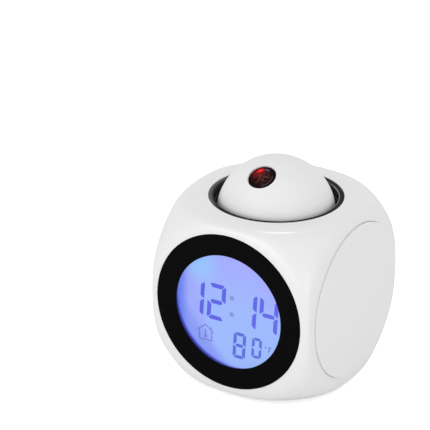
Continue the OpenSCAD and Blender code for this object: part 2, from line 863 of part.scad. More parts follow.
module speaker_frame() {
    lip_low = rear_seat - speaker_lip_t;
    color("dimgray") on_rear() translate([0, -speaker_down, 0]) rotate_extrude() polygon([
        [speaker_r, rear_seat],
        [speaker_r, lip_low],
        [speaker_cup_r + 1, lip_low],
        [speaker_cup_r, speaker_back],
        [speaker_core_r, speaker_back],
        [speaker_core_r, speaker_back + speaker_wall],
        [speaker_cup_r - speaker_wall, speaker_back + speaker_wall],
        [speaker_cup_r + 1 - speaker_wall, lip_low + speaker_wall],
        [speaker_r - speaker_wall - 0.6, lip_low + speaker_wall],
        [speaker_r - speaker_wall - 0.6, rear_seat]
    ]);
}
module speaker_cone() {
    cone_t = 0.3;
    dome_r = speaker_core_r;
    rim = speaker_r - speaker_wall - 0.6;
    roll = speaker_cup_r;
    top = rear_seat - speaker_lip_t + speaker_wall;
    deep = rear_seat - 2.6;
    color([0.15, 0.15, 0.15]) on_rear() translate([0, -speaker_down, 0]) rotate_extrude() polygon([
        [0, deep],
        [dome_r, deep],
        [roll, top],
        [rim, top],
        [rim, top + cone_t],
        [roll - cone_t, top + cone_t],
        [dome_r, deep + cone_t],
        [dome_r / 2, deep + 3 * cone_t],
        [0, deep + 4 * cone_t]
    ]);
}
module speaker_magnet() {
    color("gray") on_rear() translate([0, -speaker_down, 0])
        disc(magnet_r, speaker_back - magnet_t, speaker_back);
}
module key_board() {
    color("darkgreen") on_rear() translate([0, key_up, 0]) difference() {
        block(key_board_w, key_board_h, key_board_bottom, key_board_top);
        for (i = [0.5, 2.5]) translate([key_x(i), 0, 0])
            disc(key_screw_r + hole_gap, key_board_bottom - past, key_board_top + past, $fn = small);
    }
}
module key_switches() {
    color([0.2, 0.2, 0.22]) on_rear() for (i = [0 : 3])
        translate([key_x(i), key_up, 0]) tact_switch(key_board_top, key_switch_h);
}
module key_board_screws() {
    color("silver") on_rear() for (i = [0.5, 2.5])
        translate([key_x(i), key_up, key_board_bottom]) rotate([180, 0, 0])
            screw(key_board_t + screw_bite, r = key_screw_r, head = key_post_r);
}
module key(i) {
    color("whitesmoke") on_rear() translate([key_x(i), key_up, 0]) {
        disc(key_r, key_flange_top, half, $fn = small);
        disc(key_flange_r, key_flange_top - key_flange_t, key_flange_top, $fn = small);
        disc(key_stem_r, key_stem_end, key_flange_top - key_flange_t, $fn = small);
    }
}
module key_mode() key(0);
module key_set() key(1);
module key_up_button() key(2);
module key_down_button() key(3);

// Base plate, battery bay and door

module base_plate() {
    color("white") on_base() difference() {
        union() {
            disc(cover_r, base_seat, half);
            intersection() {
                block(2 * (bay_half_w + bay_wall), 2 * (bay_half_l + bay_wall), bay_top, half);
                disc(opening_r - fit_gap, bay_top - past, half);
            }
        }
        block(2 * bay_half_w, 2 * bay_half_l, bay_roof, half + past);
        translate([-half, hinge_y, hinge_depth]) rotate([0, 90, 0])
            translate([0, 0, half - bay_half_w - 0.9])
                cylinder(h = 2 * (bay_half_w + 0.9), r = hinge_pin_r + run_gap, $fn = small);
        at_corners(foot_x, foot_y) disc(foot_r + run_gap, half - foot_in, half + past, $fn = small);
        translate([0, bay_half_l, 0]) disc(notch_r, half - sunk_seat, half + past, $fn = small);
        on_screw_circle(base_screw_angle) {
            disc(screw_r + hole_gap, base_seat - past, half, $fn = small);
            disc(head_r + hole_gap, half - sunk_seat, half + past, $fn = small);
        }
    }
}
module base_screws() {
    color("silver") on_base() on_screw_circle(base_screw_angle)
        translate([0, 0, half - sunk_seat]) screw(screw_len);
}
module feet() {
    color("dimgray") on_base() at_corners(foot_x, foot_y)
        disc(foot_r, half - foot_in, half + foot_out, $fn = small);
}
module battery_door() {
    width = 2 * (bay_half_w - door_gap);
    free_end = bay_half_l - door_gap;
    color("white") on_base() union() {
        translate([0, (hinge_y + free_end) / 2, 0])
            block(width, free_end - hinge_y, door_in, half);
        translate([-width / 2, hinge_y, hinge_depth]) rotate([0, 90, 0])
            cylinder(h = width, r = hinge_r, $fn = small);
        translate([-width / 2 - door_gap - 0.7, hinge_y, hinge_depth]) rotate([0, 90, 0])
            cylinder(h = width + 2 * (door_gap + 0.7), r = hinge_pin_r, $fn = small);
    }
}

// The cells lie side by side with their ends turned about
module along_cell(i) {
    translate([(i - 1) * cell_pitch, 0, cell_axis]) rotate([i == 1 ? 90 : -90, 0, 0]) children();
}
module battery_plates() {
    plate_w = 8;
    color("silver") on_base() for (i = [0 : 2]) along_cell(i) {
        block(plate_w, plate_w, bay_half_l - plate_t, bay_half_l);
        block(plate_w, plate_w, -bay_half_l, plate_t - bay_half_l);
    }
}
module battery_springs() {
    color("silver") on_base() for (i = [0 : 2]) along_cell(i)
        translate([0, 0, plate_t - bay_half_l]) coil(3, 0.3, cell_spring_len, 4);
}
module cell(i) {
    front = bay_half_l - plate_t;
    color("steelblue") on_base() along_cell(i) {
        disc(cell_r, front - cell_len, front - button_h);
        disc(button_r, front - button_h, front, $fn = small);
    }
}
module cell_left() cell(0);
module cell_middle() cell(1);
module cell_right() cell(2);

main_shell();
side_cover_left();
side_cover_right();
front_bezel();
display_window();
display_carrier();
display_glass_front();
display_glass_rear();
light_guide();
reflector_sheet();
backlight_leds();
contact_strips();
main_board();
controller_blob();
clock_crystal();
temperature_sensor();
display_screws();
board_screws();
top_ring();
ring_screws();
spring_plate();
spring_plate_screws();
talk_switch();
cradle();
return_springs();
ball_front_shell();
ball_rear_shell();
ball_screws();
pivot_pins();
projector_lens();
lens_barrel();
projector_display();
condenser_lens();
projector_led();
projector_board();
rear_cover();
rear_screws();
speaker_frame();
speaker_cone();
speaker_magnet();
key_board();
key_switches();
key_board_screws();
key_mode();
key_set();
key_up_button();
key_down_button();
base_plate();
base_screws();
feet();
battery_door();
battery_plates();
battery_springs();
cell_left();
cell_middle();
cell_right();
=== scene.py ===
import math

import bmesh
import bpy
import numpy as np
from mathutils import Matrix, Vector


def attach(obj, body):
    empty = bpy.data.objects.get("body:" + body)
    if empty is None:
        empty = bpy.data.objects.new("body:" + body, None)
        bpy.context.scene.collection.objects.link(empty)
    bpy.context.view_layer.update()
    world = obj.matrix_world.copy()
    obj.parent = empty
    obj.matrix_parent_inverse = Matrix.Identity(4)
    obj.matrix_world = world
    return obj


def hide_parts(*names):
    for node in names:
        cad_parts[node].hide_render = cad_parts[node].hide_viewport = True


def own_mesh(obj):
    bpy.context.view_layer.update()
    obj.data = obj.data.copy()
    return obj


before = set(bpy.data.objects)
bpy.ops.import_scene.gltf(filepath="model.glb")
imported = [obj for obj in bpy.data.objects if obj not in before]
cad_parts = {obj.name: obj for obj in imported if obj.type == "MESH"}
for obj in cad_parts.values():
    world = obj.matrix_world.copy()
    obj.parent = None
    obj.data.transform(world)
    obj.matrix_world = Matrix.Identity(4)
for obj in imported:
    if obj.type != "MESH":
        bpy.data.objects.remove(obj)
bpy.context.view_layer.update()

# Main shell. One white ABS moulding, glossy outside: a cube with softly rounded
# edges whose corners are cut back to a sphere. Round openings in front, behind, above
# and below have a recess and a ledge for the covers, and bosses inside take the screws.

CENTRE = np.array([0.0, 0.0, 41.0])
HALF, CORNER_R = 40.0, 56.8
CAVITY, CAVITY_CORNER_R = 36.8, 54.6
BEZEL_R, BEZEL_SEAT, BEZEL_HOLE = 35.5, 38.2, 33.0
PLATE_R, REAR_SEAT, BASE_SEAT, PLATE_HOLE = 34.5, 37.8, 38.2, 32.0
COVER_R, COVER_SEAT = 34.5, 39.0
RING_R, RING_SEAT = 29.1, 35.2
SCREW_BORE, BOSS_R, BOSS_DEPTH = 0.95, 2.6, 8.0
CARRIER_SCREWS = (34.2, 9.0)
RING_SCREW_R, PLATE_SCREW_R = 32.0, 30.4
TOP = np.eye(3)
FRONT = np.array([[1, 0, 0], [0, 0, 1], [0, -1, 0]])
REAR = np.array([[-1, 0, 0], [0, 0, 1], [0, 1, 0]])
RIGHT = np.array([[0, 1, 0], [0, 0, 1], [1, 0, 0]])
LEFT = np.array([[0, -1, 0], [0, 0, 1], [-1, 0, 0]])
BASE = np.array([[1, 0, 0], [0, -1, 0], [0, 0, -1]])


def placed(points, side):
    """Turns points so that their z axis leaves the case through one side, and moves them to its middle."""
    return CENTRE + points @ side


def turned(outline, steps=160):
    """Surface of revolution: each point (r, z) of the outline goes round the z axis in equal steps."""
    angle = np.arange(steps) * 2 * np.pi / steps
    r, z = np.asarray(outline, float).T[..., None]
    return np.stack([r * np.cos(angle), r * np.sin(angle), z + 0 * angle], -1)


def rounded(corners, steps=4):
    """Closed outline: each corner (x, y, radius) becomes an arc tangent to its two sides. The arc runs from
    one touching point to the other by turning the first spoke evenly into the second."""
    corners = np.array(corners, float)
    point, radius = corners[:, :2], corners[:, 2:]
    back = np.roll(point, 1, 0) - point
    ahead = np.roll(point, -1, 0) - point
    back /= np.linalg.norm(back, axis=1, keepdims=True)
    ahead /= np.linalg.norm(ahead, axis=1, keepdims=True)
    half = np.arccos(np.clip((back * ahead).sum(1, keepdims=True), -1, 1)) / 2
    bisector = (back + ahead) / np.maximum(np.linalg.norm(back + ahead, axis=1, keepdims=True), 1e-9)
    centre = point + bisector * radius / np.sin(half)
    first = point + back * radius / np.tan(half) - centre
    last = point + ahead * radius / np.tan(half) - centre
    turn = np.pi - 2 * half
    share = np.linspace(0, 1, steps + 1)[:, None, None]
    arc = (np.sin((1 - share) * turn) * first + np.sin(share * turn) * last) / np.sin(turn) + centre
    outline = arc.transpose(1, 0, 2).reshape(-1, 2)
    return np.vstack([outline, outline[:1]])


def solid(name, sheets, finish, body, nodes=(), crease=32):
    """Joins grids of points, in millimetres, into one mesh in metres. The last column of a grid meets its
    first, doubled points along seams and at poles are merged, and the faces are turned outwards."""
    faces, first = [], 0
    for sheet in sheets:
        rows, columns = sheet.shape[:2]
        row = np.arange(rows - 1)[:, None] * columns
        column = np.arange(columns)[None, :]
        after = (column + 1) % columns
        quad = [row + column, row + after, row + columns + after, row + columns + column]
        faces.append(first + np.stack(quad, -1).reshape(-1, 4))
        first += rows * columns
    mesh = bpy.data.meshes.new(name)
    points = np.concatenate([sheet.reshape(-1, 3) for sheet in sheets]) / 1000
    mesh.from_pydata(points, [], np.concatenate(faces))
    work = bmesh.new()
    work.from_mesh(mesh)
    bmesh.ops.remove_doubles(work, verts=work.verts, dist=1e-6)
    bmesh.ops.recalc_face_normals(work, faces=work.faces)
    work.to_mesh(mesh)
    work.free()
    mesh.polygons.foreach_set("use_smooth", np.ones(len(mesh.polygons), bool))
    mesh.set_sharp_from_angle(angle=math.radians(crease))
    mesh.materials.append(finish)
    piece = bpy.data.objects.new(name, mesh)
    bpy.context.scene.collection.objects.link(piece)
    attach(piece, body)
    if nodes:
        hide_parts(*nodes)
    return piece


EDGE_POWER, CORNER_POWER = 48, 29.0


def swollen(direction, half, ball):
    """Case surface along each direction. A power mean of the three coordinates gives a cube with rounded
    edges, and a second power mean of that radius and the ball's cuts the corners back."""
    unit = direction / np.linalg.norm(direction, axis=-1, keepdims=True)
    cube = (np.abs(unit / half) ** EDGE_POWER).sum(-1, keepdims=True) ** (1 / EDGE_POWER)
    return unit * (cube ** CORNER_POWER + ball ** -CORNER_POWER) ** (-1 / CORNER_POWER)


STEPS = 256
around = np.arange(STEPS) * 2 * np.pi / STEPS
square = 1 / np.maximum(np.abs(np.cos(around)), np.abs(np.sin(around)))


def face_rings(radius, rows, half, ball):
    """Rings from a circle of that radius on a face out to the face's square edge: along each ray the reach
    grows evenly from the circle to the square, and the points are carried out to the case surface."""
    reach = radius / half
    for _ in range(4):
        reach = radius / swollen(np.array([reach, 0.0, 1.0]), half, ball)[2]
    reach = reach + (square - reach) * np.linspace(0, 1, rows)[:, None]
    direction = np.stack([reach * np.cos(around), reach * np.sin(around), 1 + 0 * reach], -1)
    return swollen(direction, half, ball)


def opening(side, radius, floor, hole, lip=0.12):
    """One side of the shell: outer surface to the rim of a recess, over its rounded lip, down its wall, in
    along its floor, and through the hole or closed at the middle, with the inner surface behind."""
    outer = face_rings(radius + lip, 36, HALF, CORNER_R)
    height = outer[0, 0, 2]
    turn = np.linspace(0, np.pi / 2, 5)[1:]
    rim = [(radius + lip - lip * math.sin(t), height - lip + lip * math.cos(t)) for t in turn]
    if hole is None:
        sheets = [outer, np.vstack([outer[:1], turned(rim + [(radius, floor), (0, floor)], STEPS)])]
        inner = face_rings(0.001, 12, CAVITY, CAVITY_CORNER_R)
        inner[0, :, :2] = 0
        return [placed(sheet, side) for sheet in sheets + [inner]]
    inner = face_rings(hole, 9, CAVITY, CAVITY_CORNER_R)
    ledge = []
    if floor is not None:
        ledge = [(radius, floor), (hole + 0.2, floor), (hole + 0.06, floor - 0.06), (hole, floor - 0.2)]
    wall = turned(rim + ledge, STEPS)
    return [placed(sheet, side) for sheet in (outer, np.vstack([outer[:1], wall, inner[:1]]), inner)]


def socketed(side, x, y, radius, low, high, depth):
    """Screw boss: a ring section, open at its low end, goes round the boss's axis."""
    section = rounded([(SCREW_BORE, low, 0), (radius, low, 0.3), (radius, high, 0), (0, high, 0),
                       (0, low + depth, 0), (SCREW_BORE, low + depth, 0)], 2)
    return placed(turned(section, 32) + np.array([x, y, 0]), side)


def four(x, y):
    """A place and its mirror images across both axes."""
    return [(x, y), (-x, y), (x, -y), (-x, -y)]


class Wire:
    """A socket in a sum: the operators add Math nodes beside it and give the result's socket."""

    def __init__(self, nodes, socket):
        self.nodes, self.socket = nodes, socket

    def maths(self, operation, *values):
        """A Math node on these values."""
        return self.nodes.node("ShaderNodeMath", {"operation": operation}, dict(enumerate(values)))

    def __add__(self, other):
        return self.maths("ADD", self, other)

    def __radd__(self, other):
        return self.maths("ADD", other, self)

    def __sub__(self, other):
        return self.maths("SUBTRACT", self, other)

    def __rsub__(self, other):
        return self.maths("SUBTRACT", other, self)

    def __mul__(self, other):
        return self.maths("MULTIPLY", self, other)

    def __rmul__(self, other):
        return self.maths("MULTIPLY", other, self)

    def __pow__(self, other):
        return self.maths("POWER", self, other)

    def __rpow__(self, other):
        return self.maths("POWER", other, self)

    def __abs__(self):
        return self.maths("ABSOLUTE", self)


class Nodes:
    """The nodes of a material or world, with one node, the shader, that gives its look."""

    def __init__(self, owner, shader):
        owner.use_nodes = True
        self.tree = owner.node_tree
        self.shader = self.tree.nodes[shader]

    def join(self, socket, value):
        """Links another socket to this one, or sets its plain value."""
        if isinstance(value, Wire):
            self.tree.links.new(value.socket, socket)
        else:
            socket.default_value = value

    def set(self, name, value):
        """Links or sets an input of the shader."""
        self.join(self.shader.inputs[name], value)

    def node(self, kind, settings=None, inputs=None, output=0):
        """Any node: its settings first, then the values or links of its sockets."""
        node = self.tree.nodes.new(kind)
        for key, value in (settings or {}).items():
            setattr(node, key, value)
        for key, value in (inputs or {}).items():
            self.join(node.inputs[key], value)
        return Wire(self, node.outputs[output])


class Finish(Nodes):
    """A procedural finish on a principled shader, read in the piece's own coordinates, in metres."""

    def __init__(self, name, colour, roughness=0.4, **plain):
        self.material = bpy.data.materials.new(name)
        super().__init__(self.material, "Principled BSDF")
        self.set("Base Color", (*colour, 1))
        self.set("Roughness", roughness)
        for socket, value in plain.items():
            self.set(socket.replace("_", " "), value)

    def place(self):
        """The piece's own coordinates, in metres."""
        return self.node("ShaderNodeTexCoord", output="Object")

    def axes(self):
        """The x, y and z of the piece's own coordinates, in millimetres from the middle of the case."""
        parts = self.node("ShaderNodeSeparateXYZ", inputs={0: self.place()})
        spread = [Wire(self, socket) for socket in parts.socket.node.outputs]
        return spread[0] * 1000, spread[1] * 1000, spread[2] * 1000 - CENTRE[2]

    def noise(self, scale, detail):
        """Smooth noise with `scale` lumps in a metre."""
        return self.node("ShaderNodeTexNoise", inputs={
            "Vector": self.place(), "Scale": scale, "Detail": detail})

    def step(self, value, low, high, result=(0.0, 1.0)):
        """Eases from one result to the other as the value goes from low to high."""
        return self.node("ShaderNodeMapRange", {"interpolation_type": "SMOOTHSTEP"},
                         {0: value, 1: low, 2: high, 3: result[0], 4: result[1]})

    def mix(self, share, first, second):
        """Blends two colours: none of the second at a share of 0, all of it at 1."""
        colours = [c if isinstance(c, Wire) else (*c, 1) for c in (first, second)]
        return self.node("ShaderNodeMix", {"data_type": "RGBA"},
                         {0: share, 6: colours[0], 7: colours[1]}, 2)

    def bump(self, height, depth):
        """Tilts the surface by a height that is 1 at `depth` metres."""
        self.set("Normal", self.node("ShaderNodeBump", inputs={"Height": height, "Distance": depth}))


def moulded(name, light, dark, roughness, grain, depth, **plain):
    """Moulded plastic: two near shades in broad clouds, a roughness that wanders and a fine grain."""
    finish = Finish(name, light, **plain)
    finish.set("Base Color", finish.mix(finish.noise(22, 1), light, dark))
    wander = (roughness * 0.96, roughness * 1.05)
    finish.set("Roughness", finish.step(finish.noise(30, 0), 0.2, 0.8, wander))
    finish.bump(finish.noise(grain, 1), depth)
    return finish.material


case_white = moulded("case_white", (0.83, 0.83, 0.83), (0.82, 0.82, 0.822), 0.42, 2500, 1e-6,
                     Coat_Weight=0.5, Coat_Roughness=0.12)

shell = opening(FRONT, BEZEL_R + 0.1, BEZEL_SEAT, BEZEL_HOLE)
shell += opening(REAR, PLATE_R + 0.15, REAR_SEAT, PLATE_HOLE)
shell += opening(BASE, PLATE_R + 0.15, BASE_SEAT, PLATE_HOLE)
shell += opening(TOP, RING_R + 0.25, None, RING_R + 0.25, 0.1)
for side in (LEFT, RIGHT):
    shell += opening(side, COVER_R + 0.16, COVER_SEAT, None)
boss_root = CAVITY + 0.4
for x, y in four(*CARRIER_SCREWS):
    shell.append(socketed(FRONT, x, y, 2.3, BEZEL_HOLE, boss_root, 3.8))
for x, y in [(RING_SCREW_R, 0), (0, RING_SCREW_R), (-RING_SCREW_R, 0), (0, -RING_SCREW_R)]:
    shell.append(socketed(TOP, x, y, BOSS_R, RING_SEAT, boss_root, 1.9))
for side, angle, seat in ((REAR, 25, REAR_SEAT), (BASE, 16, BASE_SEAT)):
    angle = math.radians(angle)
    for x, y in four(PLATE_SCREW_R * math.cos(angle), PLATE_SCREW_R * math.sin(angle)):
        end = seat - BOSS_DEPTH
        boss = rounded([(SCREW_BORE, seat, 0), (BOSS_R, seat, 0.2), (BOSS_R, end, 0.3), (0, end, 0),
                        (0, end + 1, 0), (SCREW_BORE, end + 1, 0)], 2)
        shell.append(placed(turned(boss, 32) + np.array([x, y, 0]), side))
solid("case_shell", shell, case_white, "case", ["main_shell"])

# Side covers. A flat white disc is pushed into the recess on each side of the case and
# held by three pegs. It stands a little proud, with a rounded rim and a fine gap round it.

COVER_FACE = 40.67
PEG_R, PEG_END, PEG_RING_R = 1.55, 36.2, 22.4
disc = turned(rounded([(0, COVER_FACE, 0), (COVER_R, COVER_FACE, 0.24), (COVER_R, COVER_SEAT, 0.15),
                       (0, COVER_SEAT, 0)], 6), STEPS)
peg = turned(rounded([(0, COVER_SEAT + 0.3, 0), (PEG_R, COVER_SEAT + 0.3, 0), (PEG_R, PEG_END, 0.3),
                      (0, PEG_END, 0)]), 32)
pegs = [peg + PEG_RING_R * np.array([math.cos(a), math.sin(a), 0]) for a in np.radians([90, 210, 330])]
for name, side in (("side_cover_left", LEFT), ("side_cover_right", RIGHT)):
    sheets = [placed(sheet, side) for sheet in [disc] + pegs]
    solid(name.replace("cover", "disc"), sheets, case_white, "case", [name])

# Front bezel. A broad ring of fine matt black plastic, pushed into the front opening.
# Its face slopes back a little to its mouth, which widens towards the window behind it.
# A faint painted blue glow on the mouth stands in for the display's light.

BEZEL_FACE = 39.98
MOUTH_R, MOUTH_FACE = 26.0, 39.75
SPIGOT_R, SPIGOT_END = 32.9, 36.9
WINDOW_HOLE_R, WINDOW_FACE = 28.5, 38.35
bezel_black = Finish("bezel_black", (0.0026, 0.0026, 0.0028), Specular_IOR_Level=0.02,
                     Emission_Strength=1.0)
cloud = bezel_black.noise(22, 1)
bezel_black.set("Base Color", bezel_black.mix(cloud, (0.0028, 0.0028, 0.0030), (0.0024, 0.0024, 0.0026)))
bezel_black.set("Roughness", bezel_black.step(cloud, 0.2, 0.8, (0.53, 0.58)))
bezel_black.bump(bezel_black.noise(2400, 1), 4e-6)
x, y, z = bezel_black.axes()
# Painted blue glow on the mouth's wall, standing in for the display's light on it.
painted_light_mouth = bezel_black.step((x * x + z * z) ** 0.5, MOUTH_R + 1.0, MOUTH_R + 0.6)
painted_light_mouth = painted_light_mouth * bezel_black.step(y, -39.7, -38.5)
bezel_black.set("Emission Color", bezel_black.mix(painted_light_mouth, (0, 0, 0), (0.02, 0.026, 0.13)))
bezel = rounded([(MOUTH_R, MOUTH_FACE, 0.12), (BEZEL_R, BEZEL_FACE, 0.15), (BEZEL_R, BEZEL_SEAT, 0.1),
                 (SPIGOT_R, BEZEL_SEAT, 0), (SPIGOT_R, SPIGOT_END, 0.1), (WINDOW_HOLE_R, SPIGOT_END, 0.1),
                 (WINDOW_HOLE_R, WINDOW_FACE, 0), (MOUTH_R + 0.4, WINDOW_FACE, 0.1)], 5)
solid("bezel_ring", [placed(turned(bezel, STEPS), FRONT)], bezel_black.material, "case", ["front_bezel"])

# Window. A polished disc of clear acrylic that closes the mouth. It lies in the bezel's
# back, and cement round its edge holds it.

WINDOW_R, WINDOW_THICK = 28.45, 1.0
window_clear = Finish("window_clear", (0.25, 0.27, 0.32), 0.03, Alpha=0.05)
window_clear.bump(window_clear.noise(60, 1), 2e-6)
window_back = WINDOW_FACE - WINDOW_THICK
window = rounded([(0, WINDOW_FACE, 0), (WINDOW_R, WINDOW_FACE, 0.15), (WINDOW_R, window_back, 0.15),
                  (0, window_back, 0)], 3)
solid("window_disc", [placed(turned(window), FRONT)], window_clear.material, "case", ["display_window"])

# Display glass. Two thin sheets of glass with liquid crystal between them, lit blue from
# behind. The light is cyan near the lamps at the upper left, violet at the upper right and
# lilac at the left, and painted shade darkens it near the frame at the lower left and the top.

PALE_BLUE, SKY_BLUE, CYAN = (0.375, 0.415, 1.02), (0.338, 0.50, 1.02), (0.295, 0.58, 1.0)
VIOLET, LILAC = (0.43, 0.36, 1.02), (0.345, 0.345, 1.0)
MID_BLUE, DEEP_BLUE = (0.235, 0.32, 0.95), (0.16, 0.24, 0.93)
LOW_RIM_SHADE_BLUE, TOP_RIM_SHADE_BLUE = (0.10, 0.12, 0.90), (0.12, 0.14, 0.85)
LAMP_X, LAMP_Z = -16.0, 17.5


def dress(node, finish, edge=0.0, sections=2):
    """Gives a kept solid its finish. Where an edge is named, its faces are welded and its edges rounded."""
    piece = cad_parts[node]
    piece.data.materials.clear()
    piece.data.materials.append(finish.material if isinstance(finish, Finish) else finish)
    if edge:
        weld = piece.modifiers.new("weld", "WELD")
        weld.merge_threshold = 1e-6
        bevel = piece.modifiers.new("rounding", "BEVEL")
        bevel.width, bevel.segments, bevel.limit_method = edge / 1000, sections, "ANGLE"
        bevel.angle_limit = math.radians(38)
        bevel.harden_normals = False


display_blue = Finish("display_blue", (0.01, 0.012, 0.03), 0.25, Specular_IOR_Level=0.15,
                      Emission_Strength=1.0)
x, _, z = display_blue.axes()
spread = display_blue.noise(60, 1) * 3.0 - 1.5
glow = display_blue.mix(display_blue.step(z + spread, 28.0, -6.0), PALE_BLUE, SKY_BLUE)
upper_right = display_blue.step(x * 0.8 + z * 0.6 + spread, 14.0, 30.0)
glow = display_blue.mix(upper_right * 0.6, glow, VIOLET)
glow = display_blue.mix(display_blue.step(x * -1.0 - z * 0.3, 13.0, 19.0) * 0.55, glow, LILAC)
lower_left = display_blue.step(x * -0.74 - z * 0.67 + spread * 0.6, 17.0, 23.0)
glow = display_blue.mix(lower_left * 0.85, glow, MID_BLUE)
glow = display_blue.mix(display_blue.step(x * -1.0, 21.2, 26.4), glow, DEEP_BLUE)
lamp_distance = ((x - LAMP_X) ** 2 + (z - LAMP_Z) ** 2) ** 0.5
glow = display_blue.mix(display_blue.step(lamp_distance, 11.5, 1.0, (0.0, 0.9)), glow, CYAN)
frame_distance = (x * x + z * z) ** 0.5
# Painted shade near the frame: darker blue at the lower left and at the top.
low_rim_shade = display_blue.step(x * -0.75 - z * 0.66, 14.0, 24.0)
glow = display_blue.mix(display_blue.step(frame_distance, 26.2, 28.0) * low_rim_shade, glow, LOW_RIM_SHADE_BLUE)
top_rim_shade = display_blue.step(z, 16.0, 24.0)
glow = display_blue.mix(display_blue.step(frame_distance, 24.4, 26.0) * top_rim_shade * 0.6, glow, TOP_RIM_SHADE_BLUE)
display_blue.set("Emission Color", glow)
dress("display_glass_front", display_blue)

# Display segments. Liquid crystal darkens between printed electrodes: four large digits,
# two dots, a small pair for the temperature, a degree mark, and a house with a thermometer.

SEGMENTS = {"1": "bc", "2": "abged", "4": "fgbc", "8": "abcdefg", "0": "abcdef", "F": "aefg"}
GLASS_FACE, FILM = 36.0, 0.02
DIGIT_LOW, DIGIT_HEIGHT, DIGIT_STROKE = -7.3, 17.3, 2.0
HOUSE_STROKE = 0.46


def bar(start, end, width):
    """A bar from start to end with its ends cut at right angles: four corners."""
    start, end = np.array(start, float), np.array(end, float)
    along = (end - start) / np.linalg.norm(end - start)
    across = np.array([-along[1], along[0]]) * width / 2
    return np.array([start + across, start - across, end - across, end + across])


def digit(character, left, low, width, height, stroke, gap=0.28, slant=0.06):
    """Corner lists of the lit bars. The outer bars are trapezia whose short side faces in, and the middle
    bar is pointed. The whole digit leans to the right by `slant` for each unit of height."""
    w, h, s, g, m = width, height, stroke, gap, height / 2
    upright = [(0, m + g / 2), (s / 2, m + g / 2 + s * 0.25), (s, m + g / 2 + s * 0.7), (s, h - s - g / 2),
               (s * 0.3, h - g / 2 - s * 0.3), (0, h - g - s * 0.5)]
    shapes = {
        "a": [(g + s * 0.35, h - s * 0.3), (g + s * 0.7, h), (w - g - s * 0.7, h),
              (w - g - s * 0.35, h - s * 0.3), (w - s - g / 2, h - s), (s + g / 2, h - s)],
        "f": upright,
        "b": [(w - x, y) for x, y in upright],
        "e": [(x, h - y) for x, y in upright],
        "c": [(w - x, h - y) for x, y in upright],
        "g": [(s * 0.55 + g, m), (s + g, m + s / 2), (w - s - g, m + s / 2), (w - s * 0.55 - g, m),
              (w - s - g, m - s / 2), (s + g, m - s / 2)],
    }
    shapes["d"] = [(x, h - y) for x, y in shapes["a"]]
    bars = [np.array(shapes[k]) for k in SEGMENTS[character]]
    return [np.column_stack([b[:, 0] + left + b[:, 1] * slant, b[:, 1] + low]) for b in bars]


def plates(outlines, low, high):
    """Thin plates: each outline is a loop at the low and the high level, closed by its middle point."""
    sheets = []
    for outline in outlines:
        middle = np.broadcast_to(outline.mean(0), outline.shape)
        rows = [(middle, low), (outline, low), (outline, high), (middle, high)]
        sheets.append(np.stack([np.column_stack([loop, np.full(len(loop), z)]) for loop, z in rows]))
    return sheets


digits = []
for character, left, width in (("1", -21.0, 6.4), ("2", -12.9, 9.0), ("1", 5.0, 6.6), ("4", 12.9, 9.2)):
    digits += digit(character, left, DIGIT_LOW, width, DIGIT_HEIGHT, DIGIT_STROKE)
small_digits = digit("8", 0.25, -22.7, 6.2, 12.5, 1.55, 0.26)
small_digits += digit("0", 9.65, -20.25, 4.8, 9.8, 1.3, 0.26)
dots = [bar((-1.2, z), (0.8, z), 2.0) for z in (5.2, -2.6)]
house = [bar(p, q, HOUSE_STROKE) for p, q in (
    ((-17.4, -14.0), (-13.3, -10.7)), ((-13.3, -10.7), (-9.2, -14.0)), ((-16.4, -13.6), (-16.4, -18.0)),
    ((-16.6, -18.0), (-10.0, -18.0)), ((-10.2, -18.0), (-10.2, -13.6)), ((-10.4, -11.4), (-10.4, -12.6)))]
house += [bar((-13.3, -12.9), (-13.3, -15.6), 0.5), bar((-13.9, -16.3), (-12.7, -16.3), 1.2)]
turn = np.radians(np.arange(0, 360, 30))
mark = [np.column_stack([16.8 + 0.4 * np.cos(turn), -13.7 + 0.4 * np.sin(turn)])]
mark += digit("F", 17.95, -16.15, 1.9, 3.2, 0.7, 0.12)


def inked(name, colour, share):
    """Darkened crystal: its own colour over the light behind, a little paler to the lower right."""
    finish = Finish(name, (0.01, 0.01, 0.03), 0.25, Specular_IOR_Level=0.15, Emission_Strength=1.0)
    x, _, z = finish.axes()
    pale = finish.step(x * 0.03 - z * 0.03 + finish.noise(60, 1) * 0.5, -0.6, 1.6)
    finish.set("Emission Color", finish.mix(pale * share, colour, (0.30, 0.38, 0.95)))
    return finish.material


digit_ink = inked("digit_ink", (0.085, 0.10, 0.80), 0.12)
small_ink = inked("small_ink", (0.052, 0.122, 0.69), 0.12)
icon_ink = inked("icon_ink", (0.13, 0.16, 0.56), 0.25)
dot_ink = inked("dot_ink", (0.22, 0.30, 0.70), 0.3)
for name, outlines, ink in (
        ("clock_digits", digits, digit_ink), ("temperature_digits", small_digits, small_ink),
        ("display_marks", house + mark, icon_ink), ("clock_dots", dots, dot_ink)):
    sheets = [placed(sheet, FRONT) for sheet in plates(outlines, GLASS_FACE, GLASS_FACE + FILM)]
    solid(name, sheets, ink, "case", ())

# Display carrier. A white moulding screwed to the shell from inside. Its round mouth
# shows as a thin crescent beside the glass. The mouth is painted dark blue for its shade,
# with a painted blue glow for the display's light, weakest at the lower left and towards
# its edge.

CARRIER_WHITE = (0.70, 0.72, 0.80)
carrier_white = Finish("carrier_white", CARRIER_WHITE, 0.5, Specular_IOR_Level=0.2, Emission_Strength=1.0)
x, y, z = carrier_white.axes()
reach = (x * x + z * z) ** 0.5
